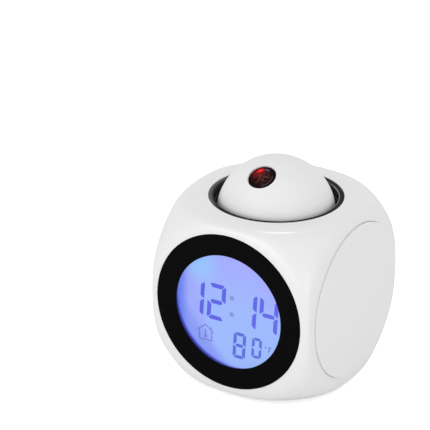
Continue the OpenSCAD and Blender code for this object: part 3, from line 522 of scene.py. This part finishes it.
# The mouth is painted dark blue for its shade and given a painted blue glow for the display's light.
painted_light_mouth = carrier_white.step(reach, 29.5, 28.5) * carrier_white.step(y, -33.0, -34.0)
carrier_white.set("Base Color", carrier_white.mix(painted_light_mouth, CARRIER_WHITE, (0.02, 0.022, 0.10)))
lower_left = carrier_white.step(x * -0.75 - z * 0.66, 14.0, 24.0)
painted_glow_colour = carrier_white.mix(lower_left, (0.22, 0.30, 0.88), (0.07, 0.085, 0.55))
painted_glow_colour = carrier_white.mix(carrier_white.step(reach, 27.0, 28.1), painted_glow_colour, (0.008, 0.009, 0.12))
carrier_white.set("Emission Color", carrier_white.mix(painted_light_mouth, (0, 0, 0), painted_glow_colour))
carrier_white.bump(carrier_white.noise(900, 2), 1e-5)
dress("display_carrier", carrier_white)

# Light guide, reflector sheet and rear glass. A clear acrylic slab spreads the light of
# two lamps, a matt white film throws it forward, and the rear glass carries the contacts.

guide_clear = Finish("guide_clear", (0.75, 0.82, 1.0), 0.1, Alpha=0.6)
guide_clear.bump(guide_clear.noise(1500, 1), 6e-6)
dress("light_guide", guide_clear, 0.15)
reflector = Finish("reflector", (0.86, 0.86, 0.88), 0.7)
reflector.set("Roughness", reflector.step(reflector.noise(400, 2), 0.3, 0.7, (0.6, 0.8)))
dress("reflector_sheet", reflector)
dress("display_glass_rear", display_blue)
led_body = Finish("led_body", (0.85, 0.84, 0.6), 0.25)
led_body.set("Base Color", led_body.mix(led_body.noise(300, 1), (0.88, 0.86, 0.55), (0.8, 0.8, 0.68)))
dress("backlight_leds", led_body, 0.15)

# Contact strips. Soft silicone bars with fine black conducting layers, squeezed between
# the glass and the board.

contact_rubber = Finish("contact_rubber", (0.5, 0.2, 0.2), 0.6)
x, y, z = contact_rubber.axes()
layer = contact_rubber.step(x.maths("FRACT", x * 2.5), 0.45, 0.55)
contact_rubber.set("Base Color", contact_rubber.mix(layer, (0.02, 0.02, 0.022), (0.42, 0.25, 0.25)))
dress("contact_strips", contact_rubber)

# Boards. The main board, the key board and the projector's round board are glass cloth
# laminate under a green mask, with copper tracks that show as paler lines.

board_green = Finish("board_green", (0.01, 0.12, 0.04), 0.3, Specular_IOR_Level=0.6)
x, y, z = board_green.axes()
track = x.maths("SINE", x * 1.9 + z.maths("SINE", z * 0.9) * 2)
track = board_green.step(abs(track), 0.86, 0.95)
weave = board_green.noise(2500, 1)
board_green.set("Base Color", board_green.mix(track, (0.008, 0.10, 0.035), (0.02, 0.20, 0.07)))
board_green.bump(track * 0.8 + weave * 0.3, 2e-5)
for node in ("main_board", "key_board", "projector_board"):
    dress(node, board_green)

# Parts on the boards. A blob of black epoxy over the clock's chip, a glazed thermistor
# bead, and black nylon switches under the keys and under the cradle.

resin_black = moulded("resin_black", (0.02, 0.02, 0.021), (0.03, 0.03, 0.03), 0.22, 300, 3e-5)
sensor_brown = moulded("sensor_brown", (0.22, 0.09, 0.035), (0.15, 0.06, 0.03), 0.15, 500, 1e-5)
switch_black = moulded("switch_black", (0.028, 0.028, 0.03), (0.04, 0.04, 0.042), 0.45, 1200, 1e-5)
dress("controller_blob", resin_black)
dress("temperature_sensor", sensor_brown, 0.3, 3)
for node in ("talk_switch", "key_switches"):
    dress(node, switch_black, 0.15)

# Screws, pivot pins, contact plates and the crystal's can, all of bright zinc-plated
# steel. The plating is lighter and darker in small patches, with a fine grain.

steel = Finish("steel", (0.60, 0.61, 0.63), 0.28, Metallic=1.0)
steel.set("Base Color", steel.mix(steel.noise(250, 3), (0.52, 0.53, 0.56), (0.68, 0.68, 0.68)))
steel.set("Roughness", steel.step(steel.noise(600, 3), 0.3, 0.7, (0.2, 0.38)))
steel.bump(steel.noise(3000, 1), 4e-6)
for place in ("display", "board", "ring", "spring_plate", "rear", "base", "key_board", "ball"):
    dress(place + "_screws", steel, 0.12)
dress("clock_crystal", steel, 0.2)
dress("pivot_pins", steel, 0.2)
dress("battery_plates", steel, 0.08)

# Top ring. A black ABS tube with a flange under the top wall, held by four screws. Its
# broad lip shows round the ball and slopes in a little. A painted sheen makes it paler at
# the left, the bore below it is painted a little paler against its shade, and a painted
# highlight with a glossy coat lies on its inner edge at the right. The tube guides the cradle.

BORE_R, FLANGE_R, PLATE_TOP = 27.7, 34.6, 18.6
RING_LOW, LIP_TOP, LIP_R = 33.6, 40.0, 27.0
well_black = Finish("well_black", (0.024, 0.024, 0.025), Specular_IOR_Level=0.0, Coat_Roughness=0.15)
x, y, z = well_black.axes()
reach = (x * x + y * y) ** 0.5
# Painted sheen: the lip is paler at the left.
pale = well_black.step(x, -12.0, -22.0) * well_black.step(reach, 27.2, 28.6)
lip = well_black.mix(pale, (0.036, 0.036, 0.037), (0.15, 0.15, 0.151))
# The bore below the lip is painted a little paler to lift the shade there.
wall = well_black.step(reach, BORE_R + 0.2, BORE_R + 0.05) * well_black.step(z, 38.3, 38.1)
plain = well_black.mix(wall, lip, (0.05, 0.05, 0.051))
# A painted highlight on the lip's inner edge at the right, which also gets a glossy coat there.
painted_glint_and_coat = well_black.step(reach, LIP_R + 0.4, LIP_R + 0.2) * well_black.step(z, 39.1, 39.3)
painted_glint_and_coat = painted_glint_and_coat * well_black.step(x, 10.0, 18.0)
well_black.set("Base Color", well_black.mix(painted_glint_and_coat, plain, (0.24, 0.24, 0.242)))
well_black.set("Coat Weight", painted_glint_and_coat)
well_black.set("Roughness", well_black.step(well_black.noise(30, 0), 0.2, 0.8, (0.34, 0.38)))
well_black.bump(well_black.noise(900, 1), 3e-6)
ring = rounded([(BORE_R, RING_LOW, 0.1), (FLANGE_R, RING_LOW, 0.2), (FLANGE_R, RING_SEAT, 0.2),
                (RING_R, RING_SEAT, 0), (RING_R, LIP_TOP, 0.15), (LIP_R, LIP_TOP - 0.35, 0.25),
                (LIP_R, LIP_TOP - 1.3, 0.1), (BORE_R, LIP_TOP - 1.8, 0)], 5)
columns = [socketed(TOP, RING_SCREW_R * math.cos(a), RING_SCREW_R * math.sin(a), BOSS_R, PLATE_TOP, 34.0, 8)
           for a in np.radians([45, 135, 225, 315])]
solid("well_ring", [placed(turned(ring, STEPS), TOP)] + columns, well_black.material, "case",
      ["top_ring"])

# Spring plate. A white ring that closes the bottom of the well and carries the four
# return springs and the switch that the pressed ball works.

dress("spring_plate", carrier_white, 0.2)

# Cradle. A black cup that holds the ball by its two pins and slides down inside the top
# ring when the ball is pressed. Five lugs on its collar rest on the springs and the switch.

BALL_MIDDLE = 31.3
CUP_IN, CUP_OUT, CUP_DEPTH = 26.3, 28.0, 17.3
COLLAR_R, COLLAR_LOW, COLLAR_TOP = 29.0, 28.9, 33.4
RIM_R, RIM_IN, RIM_TOP = 27.3, 26.4, 36.3
LUG_HALF, LUG_LOW, LUG_TOP = 3.0, 29.2, 31.4
SPRING_OUT, SPRING_ANGLES = 31.4, (22.5, -22.5, 157.5, 202.5)


def cup_arc(radius, start, stop):
    """Points on a circle round the ball's middle, from one angle below the horizontal to another."""
    angles = np.linspace(start, stop, 14)
    return [(radius * math.cos(a), BALL_MIDDLE - radius * math.sin(a)) for a in angles]


inner = cup_arc(CUP_IN, 0.07, math.asin(CUP_DEPTH / CUP_IN))
outer = cup_arc(CUP_OUT, math.asin(CUP_DEPTH / CUP_OUT), 0.09)
rim = rounded([(CUP_OUT, COLLAR_LOW, 0), (COLLAR_R, COLLAR_LOW, 0.2), (COLLAR_R, COLLAR_TOP, 0.3),
               (RIM_R, COLLAR_TOP, 0.2), (RIM_R, RIM_TOP, 0.28), (RIM_IN, RIM_TOP, 0.28),
               (RIM_IN, 29.5, 0)], 4)[5:-6]
cup = np.array(inner + outer + list(rim) + inner[:1])


def pad(outline, low, high, edge, steps=3):
    """Prism with rounded rims: the outline, less its doubled points, moves in along its own normals by the
    edge at both ends, following a quarter circle, and both ends close at the middle."""
    outline = outline[np.linalg.norm(np.roll(outline, -1, 0) - outline, axis=1) > 1e-6]
    ahead = np.roll(outline, -1, 0) - outline
    normal = np.column_stack([ahead[:, 1], -ahead[:, 0]])
    normal /= np.linalg.norm(normal, axis=1, keepdims=True)
    normal = normal + np.roll(normal, 1, 0)
    normal /= np.linalg.norm(normal, axis=1, keepdims=True)
    turn = np.linspace(0, np.pi / 2, steps + 1)
    inset = edge * (1 - np.sin(turn))
    level = edge * (1 - np.cos(turn))
    loops = [(outline - normal * i, low + h) for i, h in zip(inset, level)]
    loops += [(outline - normal * i, high - h) for i, h in zip(inset[::-1], level[::-1])]
    middle = np.broadcast_to(outline.mean(0), outline.shape)
    rows = [(middle, low)] + loops + [(middle, high)]
    return np.stack([np.column_stack([loop, np.full(len(loop), z)]) for loop, z in rows])


def about(points, angle):
    """Turns points about the z axis."""
    c, s = math.cos(angle), math.sin(angle)
    return points @ np.array([[c, s, 0], [-s, c, 0], [0, 0, 1]])


sheets = [turned(cup, STEPS)]
lugs = [(angle, 34.0, SPRING_OUT, 1.45, 27.2) for angle in SPRING_ANGLES] + [(90, 33.6, 31.0, 1.7, 24.2)]
for degrees, reach, out, post_r, low in lugs:
    outline = rounded([(27.0, -LUG_HALF, 0), (reach, -LUG_HALF, 0.6), (reach, LUG_HALF, 0.6),
                       (27.0, LUG_HALF, 0)], 3)[:-1]
    sheets.append(about(pad(outline, LUG_LOW, LUG_TOP, 0.2), math.radians(degrees)))
    stub = rounded([(0, low, 0), (post_r, low, 0.3), (post_r, 30.0, 0), (0, 30.0, 0)], 2)
    sheets.append(about(turned(stub, 32) + np.array([out, 0, 0]), math.radians(degrees)))
cradle_black = moulded("cradle_black", (0.014, 0.014, 0.0145), (0.011, 0.011, 0.0115), 0.5, 900, 2e-6)
solid("ball_cradle", [placed(sheet, TOP) for sheet in sheets], cradle_black, "cradle", ["cradle"])

# Return springs. Round steel wire is wound into four open coils that stand on the spring
# plate and push the cradle up.


def wound(radius, wire, height, turns, sides=8, per_turn=24):
    """A circle of wire carried along a helix, closed at both ends. The first and last 0.6 turn lie flat,
    and the coil climbs evenly between them."""
    count = int(turns * per_turn)
    share = np.linspace(0, 1, count + 1)
    angle = share * turns * 2 * np.pi
    ease = np.clip((share * turns - 0.6) / (turns - 1.2), 0, 1)
    rise = wire + (height - 2 * wire) * ease
    rim = np.arange(sides) * 2 * np.pi / sides
    out = radius + wire * np.cos(rim)
    coil = np.stack([np.cos(angle)[:, None] * out, np.sin(angle)[:, None] * out,
                     rise[:, None] + wire * np.sin(rim)], -1)
    ends = coil.mean(1, keepdims=True) + 0 * coil
    return np.concatenate([ends[:1], coil, ends[-1:]])


standing = wound(2.0, 0.25, 10.6, 6) + np.array([SPRING_OUT, 0, PLATE_TOP])
coils = [placed(about(standing, math.radians(degrees)), TOP) for degrees in SPRING_ANGLES]
springs = solid("cradle_springs", coils, steel.material, "case", ["return_springs"])
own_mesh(springs)

# Ball. Two white half shells, screwed together on the pivot pins. They meet in a hair
# line square to the lens, and a sleeve in the front one holds the barrel.

BALL_R, BALL_IN, SEAM, HOLE_RIM = 25.9, 24.1, 0.12, 0.35
LENS_HOLE, BACK_HOLE, LENS_SEAT = 6.2, 3.0, 22.85
SLEEVE_IN, SLEEVE_OUT, SLEEVE_LOW = 7.65, 9.1, 15.0
tilt = math.radians(30)
TILT = np.array([[1, 0, 0], [0, math.cos(tilt), math.sin(tilt)], [0, -math.sin(tilt), math.cos(tilt)]])


def in_ball(points):
    """Turns points so that their z axis is the lens's axis, and moves them to the ball's middle."""
    return CENTRE + np.array([0, 0, BALL_MIDDLE]) + points @ TILT


def half_ball(hole):
    """Outline of half a hollow ball from the seam to a round hole in its middle: an outer arc, a rounded
    rim, the hole's wall, an inner arc and the flat seam, with the outer edge of the seam chamfered."""
    stop = math.acos((hole + HOLE_RIM) / BALL_R)
    outer = [(BALL_R * math.cos(a), BALL_R * math.sin(a)) for a in np.linspace(SEAM / BALL_R, stop, 46)]
    height = BALL_R * math.sin(stop) - HOLE_RIM
    lip = [(hole + HOLE_RIM - HOLE_RIM * math.sin(t), height + HOLE_RIM * math.cos(t) - 0.05 * math.sin(t))
           for t in np.linspace(0.5, np.pi / 2, 4)]
    stop = math.acos(hole / BALL_IN)
    inner = [(BALL_IN * math.cos(a), BALL_IN * math.sin(a)) for a in np.linspace(stop, 0, 30)]
    return outer + lip, inner + [(BALL_R - SEAM, 0.0), outer[0]]


ball_white = moulded("ball_white", (0.84, 0.84, 0.84), (0.83, 0.83, 0.832), 0.5, 2500, 1e-6)
skin, inside = half_ball(LENS_HOLE)
sleeve = [(LENS_HOLE, LENS_SEAT), (SLEEVE_IN, LENS_SEAT), (SLEEVE_IN, SLEEVE_LOW), (SLEEVE_OUT, SLEEVE_LOW),
          (SLEEVE_OUT, 22.32)]
inside = [point for point in inside if point[0] > SLEEVE_OUT or point[1] < 1]
solid("ball_front", [in_ball(turned(skin + sleeve + inside, STEPS))], ball_white, "ball",
      ["ball_front_shell"])
skin, inside = half_ball(BACK_HOLE)
solid("ball_back", [in_ball(turned(skin + inside, STEPS) * np.array([1, 1, -1]))], ball_white, "ball",
      ["ball_rear_shell"])

# Lens. A dark red moulded dome in a round hole of the ball. Light from the slide behind it
# makes a bright spot and a red halo at its upper left and a faint core. A pale painted
# highlight lies at the top and a short painted reflection streak at the right.

LENS_R, LENS_EDGE, DOME_R = 6.1, 24.1, 20.0
low = math.sqrt(DOME_R ** 2 - LENS_R ** 2)
DARK, DIM_CORE, HALO_RED = (0.0035, 0.0004, 0.0009), (0.13, 0.045, 0.040), (0.20, 0.003, 0.005)
SPOT_RED, PAINTED_STREAK_GREY, PAINTED_SHEEN_GREY = (0.95, 0.025, 0.018), (0.11, 0.09, 0.10), (0.11, 0.075, 0.10)
RIM_DARK = (0.001, 0.0, 0.0)
HALO_X, HALO_UP, SPOT_X, SPOT_UP, SHEEN_X, SHEEN_UP = -2.9, 1.5, -2.4, 3.1, 0.3, 4.2
dome = [(out, LENS_EDGE + math.sqrt(DOME_R ** 2 - out ** 2) - low)
        for out in LENS_R * np.linspace(0, 1, 14)]
lens_red = Finish("lens_red", (0.006, 0.001, 0.0015), 0.05, Specular_IOR_Level=0.03, Emission_Strength=1.0)
x, y, z = lens_red.axes()
lens_y, lens_z = -24.0 * math.sin(tilt), BALL_MIDDLE + 24.0 * math.cos(tilt)
up = (y - lens_y) * math.cos(tilt) + (z - lens_z) * math.sin(tilt)
reach = (x ** 2 + up ** 2) ** 0.5
cloud = lens_red.noise(800, 1)
middle = lens_red.step(reach, 5.0, 0.5) * lens_red.step(cloud, 0.36, 0.68)
glow = lens_red.mix(middle, DARK, DIM_CORE)
halo = ((x - HALO_X) ** 2 * 0.8 + (up - HALO_UP) ** 2) ** 0.5 + cloud * 1.5
glow = lens_red.mix(lens_red.step(halo, 4.6, 1.0) * 0.85, glow, HALO_RED)
along = (x - SPOT_X) * 0.75 + (up - SPOT_UP) * 0.66
across = (x - SPOT_X) * -0.66 + (up - SPOT_UP) * 0.75
spot = (along ** 2 * 0.6 + across ** 2) ** 0.5 + cloud * 0.5
glow = lens_red.mix(lens_red.step(spot, 2.1, 0.3), glow, SPOT_RED)
# A painted reflection: a short grey streak at the right.
painted_streak = lens_red.step(abs(reach - 4.5), 0.4, 0.05)
painted_streak = painted_streak * lens_red.step(x + up * -0.4 + cloud * 3.0, 4.2, 5.4)
glow = lens_red.mix(painted_streak * 0.5, glow, PAINTED_STREAK_GREY)
# A painted highlight: a pale grey sheen at the top.
painted_sheen = ((x - SHEEN_X) ** 2 * 0.5 + (up - SHEEN_UP) ** 2 * 2.0) ** 0.5 + cloud * 0.5
glow = lens_red.mix(lens_red.step(painted_sheen, 1.7, 0.3), glow, PAINTED_SHEEN_GREY)
glow = lens_red.mix(lens_red.step(reach, 5.4, 6.0), glow, RIM_DARK)
lens_red.set("Emission Color", glow)
lens_outline = dome + [(LENS_R, LENS_SEAT), (0, LENS_SEAT)]
solid("lens_dome", [in_ball(turned(lens_outline, 96))], lens_red.material, "ball", ["projector_lens"])

# Inside of the ball. A black barrel holds the slide and the condenser over a red lamp on
# a small round board.

dress("lens_barrel", switch_black)
slide_red = Finish("slide_red", (0.15, 0.02, 0.02), 0.2, Alpha=0.9)
slide_red.set("Base Color", slide_red.mix(slide_red.noise(800, 1), (0.2, 0.02, 0.02), (0.1, 0.02, 0.02)))
dress("projector_display", slide_red, 0.1)
condenser_clear = Finish("condenser_clear", (0.93, 0.94, 0.96), 0.05, Alpha=0.3)
condenser_clear.bump(condenser_clear.noise(200, 1), 2e-6)
dress("condenser_lens", condenser_clear)
led_red = moulded("led_red", (0.6, 0.015, 0.015), (0.45, 0.01, 0.012), 0.1, 300, 3e-6)
dress("projector_led", led_red)

# Rear cover. A white disc sunk a little below the rear face, with four key holes, a round
# grille and four screws. The edges of its holes are lightly broken.

dress("rear_cover", case_white, 0.12)

# Loudspeaker. A black paper cone with fine round folds sits in a pressed steel frame, with
# a grey ferrite magnet behind it.

cone_black = Finish("cone_black", (0.03, 0.03, 0.032), 0.75)
x, y, z = cone_black.axes()
ridge = (x * x + (z + 12) ** 2) ** 0.5 * 3.0
cone_black.bump(ridge.maths("SINE", ridge) * 0.5 + cone_black.noise(1500, 2), 8e-5)
dress("speaker_cone", cone_black)
dress("speaker_frame", steel, 0.15)
magnet_grey = moulded("magnet_grey", (0.09, 0.09, 0.095), (0.13, 0.13, 0.13), 0.55, 1500, 3e-5)
dress("speaker_magnet", magnet_grey, 0.4)

# Keys. Four white buttons with dished faces stand a little above the rear cover. Each
# rests on a flange inside, works a switch by its stem and carries a grey mark: a bar, a
# dot or an arrowhead.

key_white = moulded("key_white", (0.74, 0.74, 0.745), (0.71, 0.71, 0.715), 0.42, 1400, 6e-6)
KEY_R, KEY_TOP, KEY_ROUND = 3.2, 40.0, 0.45
KEY_PITCH, KEY_ROW = 12, 10
dish = [(2.3 * t, 39.72 + 0.28 * t ** 2) for t in np.linspace(0, 1, 7)] + [(2.5, KEY_TOP)]
rim = [(KEY_R - KEY_ROUND + KEY_ROUND * math.sin(t), KEY_TOP - KEY_ROUND + KEY_ROUND * math.cos(t))
       for t in np.linspace(0, np.pi / 2, 6)]
flange = [(KEY_R, 37.7), (4.1, 37.7), (4.2, 37.6), (4.2, 36.6)]
stem = [(1.5, 36.6), (1.5, 35.4), (1.3, 35.2), (0, 35.2)]
key_grey = moulded("key_grey", (0.16, 0.16, 0.165), (0.14, 0.14, 0.145), 0.5, 1400, 4e-6)
turn = np.radians(np.arange(0, 360, 15))
KEY_MARKS = [
    rounded([(-0.95, -0.3, 0.29), (0.95, -0.3, 0.29), (0.95, 0.3, 0.29), (-0.95, 0.3, 0.29)], 4)[:-1],
    0.75 * np.column_stack([np.cos(turn), np.sin(turn)]),
    rounded([(-1.0, -0.65, 0.15), (1.0, -0.65, 0.15), (0, 0.9, 0.15)], 4)[:-1],
    rounded([(1.0, 0.65, 0.15), (-1.0, 0.65, 0.15), (0, -0.9, 0.15)], 4)[:-1],
]
for i, (node, body) in enumerate((("key_mode", "mode_key"), ("key_set", "set_key"),
                                  ("key_up_button", "up_key"), ("key_down_button", "down_key"))):
    spot = np.array([(i - 1.5) * KEY_PITCH, KEY_ROW, 0])
    button = turned(dish + rim + flange + stem, 64) + spot
    solid(body + "_cap", [placed(button, REAR)], key_white, body, [node])
    mark = pad(KEY_MARKS[i], 39.7, 39.86, 0.06) + spot
    solid(body + "_mark", [placed(mark, REAR)], key_grey, body, ())

# Base plate. A white disc let into the underside, with a box inside it for the cells,
# a finger notch at the door and wells for the screws and feet.

dress("base_plate", case_white, 0.12)

# Feet. Four soft grey rubber pads are stuck in shallow wells. Their soles are ribbed in
# rings so that they grip.

foot_rubber = moulded("foot_rubber", (0.055, 0.055, 0.058), (0.07, 0.07, 0.073), 0.7, 1800, 2e-5)
FOOT_R, SOLE, GROOVE_PITCH, GROOVE_DEPTH = 3.0, 41.0, 0.9, 0.12
FOOT_X, FOOT_Y = 23.0, 20.0
sole = [(r, SOLE - GROOVE_DEPTH * (0.5 - 0.5 * math.cos(r * 2 * math.pi / GROOVE_PITCH)))
        for r in np.linspace(0, 2.7, 25)]
foot_outline = sole + [(2.86, 40.95), (2.95, 40.86), (FOOT_R, 40.7), (FOOT_R, 39.4), (0, 39.4)]
feet = [placed(turned(foot_outline, 48) + np.array([x, y, 0]), BASE) for x, y in four(FOOT_X, FOOT_Y)]
solid("rubber_feet", feet, foot_rubber, "case", ["feet"])

# Battery door. A white plate that swings on two pins. Raised ribs near its free edge
# give the thumb a grip.

dress("battery_door", case_white, 0.15)
RIB_COUNT, RIB_PITCH, RIB_WIDTH = 5, 1.5, 0.7
ribs = []
for i in range(RIB_COUNT):
    half, start = 7.0 - i * 0.5, 14.0 + i * RIB_PITCH
    outline = rounded([(-half, start, 0.3), (half, start, 0.3), (half, start + RIB_WIDTH, 0.3),
                       (-half, start + RIB_WIDTH, 0.3)], 4)[:-1]
    ribs.append(placed(pad(outline, 39.8, 40.45, 0.25), BASE))
solid("door_ribs", ribs, case_white, "door", ())

# Cells and their springs. Three AAA cells lie side by side, each a steel can in a printed
# wrap with a bare button, pushed onto its plate by a wide coil.

cell_wrap = Finish("cell_wrap", (0.03, 0.10, 0.25), 0.25, Coat_Weight=0.5)
x, y, z = cell_wrap.axes()
band = cell_wrap.step(abs(y), 19.6, 19.9)
can = cell_wrap.step(abs(y), 21.9, 22.1)
colour = cell_wrap.mix(band, (0.02, 0.07, 0.22), (0.62, 0.63, 0.66))
cell_wrap.set("Base Color", cell_wrap.mix(cell_wrap.noise(60, 2) * 0.25, colour, (0.02, 0.05, 0.15)))
cell_wrap.set("Metallic", can)
for node in ("cell_left", "cell_middle", "cell_right"):
    dress(node, cell_wrap, 0.25)
CELL_LEVEL, CELL_PITCH, BAY_HALF, CONTACT = 32.15, 11.1, 25.05, 0.4
coils = []
for i, way in enumerate((-1, 1, -1)):
    coil = wound(3.0, 0.3, 4.8, 4) + np.array([0, 0, CONTACT - BAY_HALF])
    lying = np.stack([coil[..., 0], coil[..., 2] * -way, coil[..., 1] * way], -1)
    coils.append(placed(lying + np.array([(i - 1) * CELL_PITCH, 0, CELL_LEVEL]), BASE))
solid("cell_springs", coils, steel.material, "case", ["battery_springs"])

# Floor, light and camera. A pale table under an even soft light, with two large low lamps
# in front, and a small one behind that draws a highlight along the top's front edge. The
# camera has a long lens.

floor_mesh = bpy.data.meshes.new("floor")
floor_mesh.from_pydata([(-4, -4, 0), (4, -4, 0), (4, 4, 0), (-4, 4, 0)], [], [(0, 1, 2, 3)])
floor = bpy.data.objects.new("floor", floor_mesh)
bpy.context.scene.collection.objects.link(floor)
table = Finish("table", (0.93, 0.93, 0.93), 0.9, Specular_IOR_Level=0.0, Emission_Color=(1, 1, 1, 1))
table.set("Emission Strength", table.node("ShaderNodeLightPath", output="Is Camera Ray") * 0.52)
floor_mesh.materials.append(table.material)

ROOM_LIGHT = 0.805
world = bpy.data.worlds.new("studio")
bpy.context.scene.world = world
room = Nodes(world, "Background")
rays = [room.node("ShaderNodeLightPath", output=name)
        for name in ("Is Camera Ray", "Is Glossy Ray", "Is Transmission Ray")]
clear = rays[0].maths("MAXIMUM", rays[0].maths("MAXIMUM", rays[0], rays[1]), rays[2])
room.set("Color", (1, 1, 1, 1))
room.set("Strength", room.node("ShaderNodeMapRange", inputs={0: clear, 3: ROOM_LIGHT, 4: 1.0}))


def lamp(name, azimuth, elevation, distance, size, power):
    """A round soft lamp that looks at the case from a direction given in degrees, azimuth 0 in front."""
    a, e = math.radians(azimuth), math.radians(elevation)
    away = Vector((math.sin(a) * math.cos(e), -math.cos(a) * math.cos(e), math.sin(e)))
    light = bpy.data.lights.new(name, "AREA")
    light.shape, light.size, light.energy = "DISK", size, power
    lamp_object = bpy.data.objects.new(name, light)
    lamp_object.location = away * distance + Vector((0, 0, 0.045))
    lamp_object.rotation_euler = away.to_track_quat("Z", "Y").to_euler()
    bpy.context.scene.collection.objects.link(lamp_object)


lamp("front_lamp", -15, 3, 1.5, 1.1, 6.4)
lamp("side_lamp", 60, 3, 1.5, 1.1, 4.2)
lamp("edge_lamp", -151, 53.5, 1.3, 0.2, 0.65)

CAMERA_AZIMUTH, CAMERA_ELEVATION, CAMERA_ROLL = 30.17, 25.68, -0.88
CAMERA_DISTANCE, AIM_HEIGHT = 1.084, 0.041
FOCAL_LENGTH, SENSOR, PICTURE = 207.3, 36, 430
OFF_CENTRE = (60.09, -63.26)
a, e, r = (math.radians(v) for v in (CAMERA_AZIMUTH, CAMERA_ELEVATION, CAMERA_ROLL))
back = Vector((math.sin(a) * math.cos(e), -math.cos(a) * math.cos(e), math.sin(e)))
right = Vector((math.cos(a), math.sin(a), 0))
upward = back.cross(right)
rolled = right * math.cos(r) - upward * math.sin(r), right * math.sin(r) + upward * math.cos(r)
turn = Matrix((rolled[0], rolled[1], back)).transposed()
focal = FOCAL_LENGTH / SENSOR * PICTURE
off_axis = Vector((OFF_CENTRE[0] / focal, OFF_CENTRE[1] / focal, -1)).normalized()
turn = turn @ Vector((0, 0, -1)).rotation_difference(off_axis).to_matrix().transposed()
camera_data = bpy.data.cameras.new("camera")
camera_data.lens, camera_data.sensor_width = FOCAL_LENGTH, SENSOR
camera = bpy.data.objects.new("camera", camera_data)
stand = Vector((0, 0, AIM_HEIGHT)) + back * CAMERA_DISTANCE
camera.matrix_world = Matrix.Translation(stand) @ turn.to_4x4()
bpy.context.scene.collection.objects.link(camera)
bpy.context.scene.camera = camera
bpy.context.scene.view_settings.view_transform = "Standard"
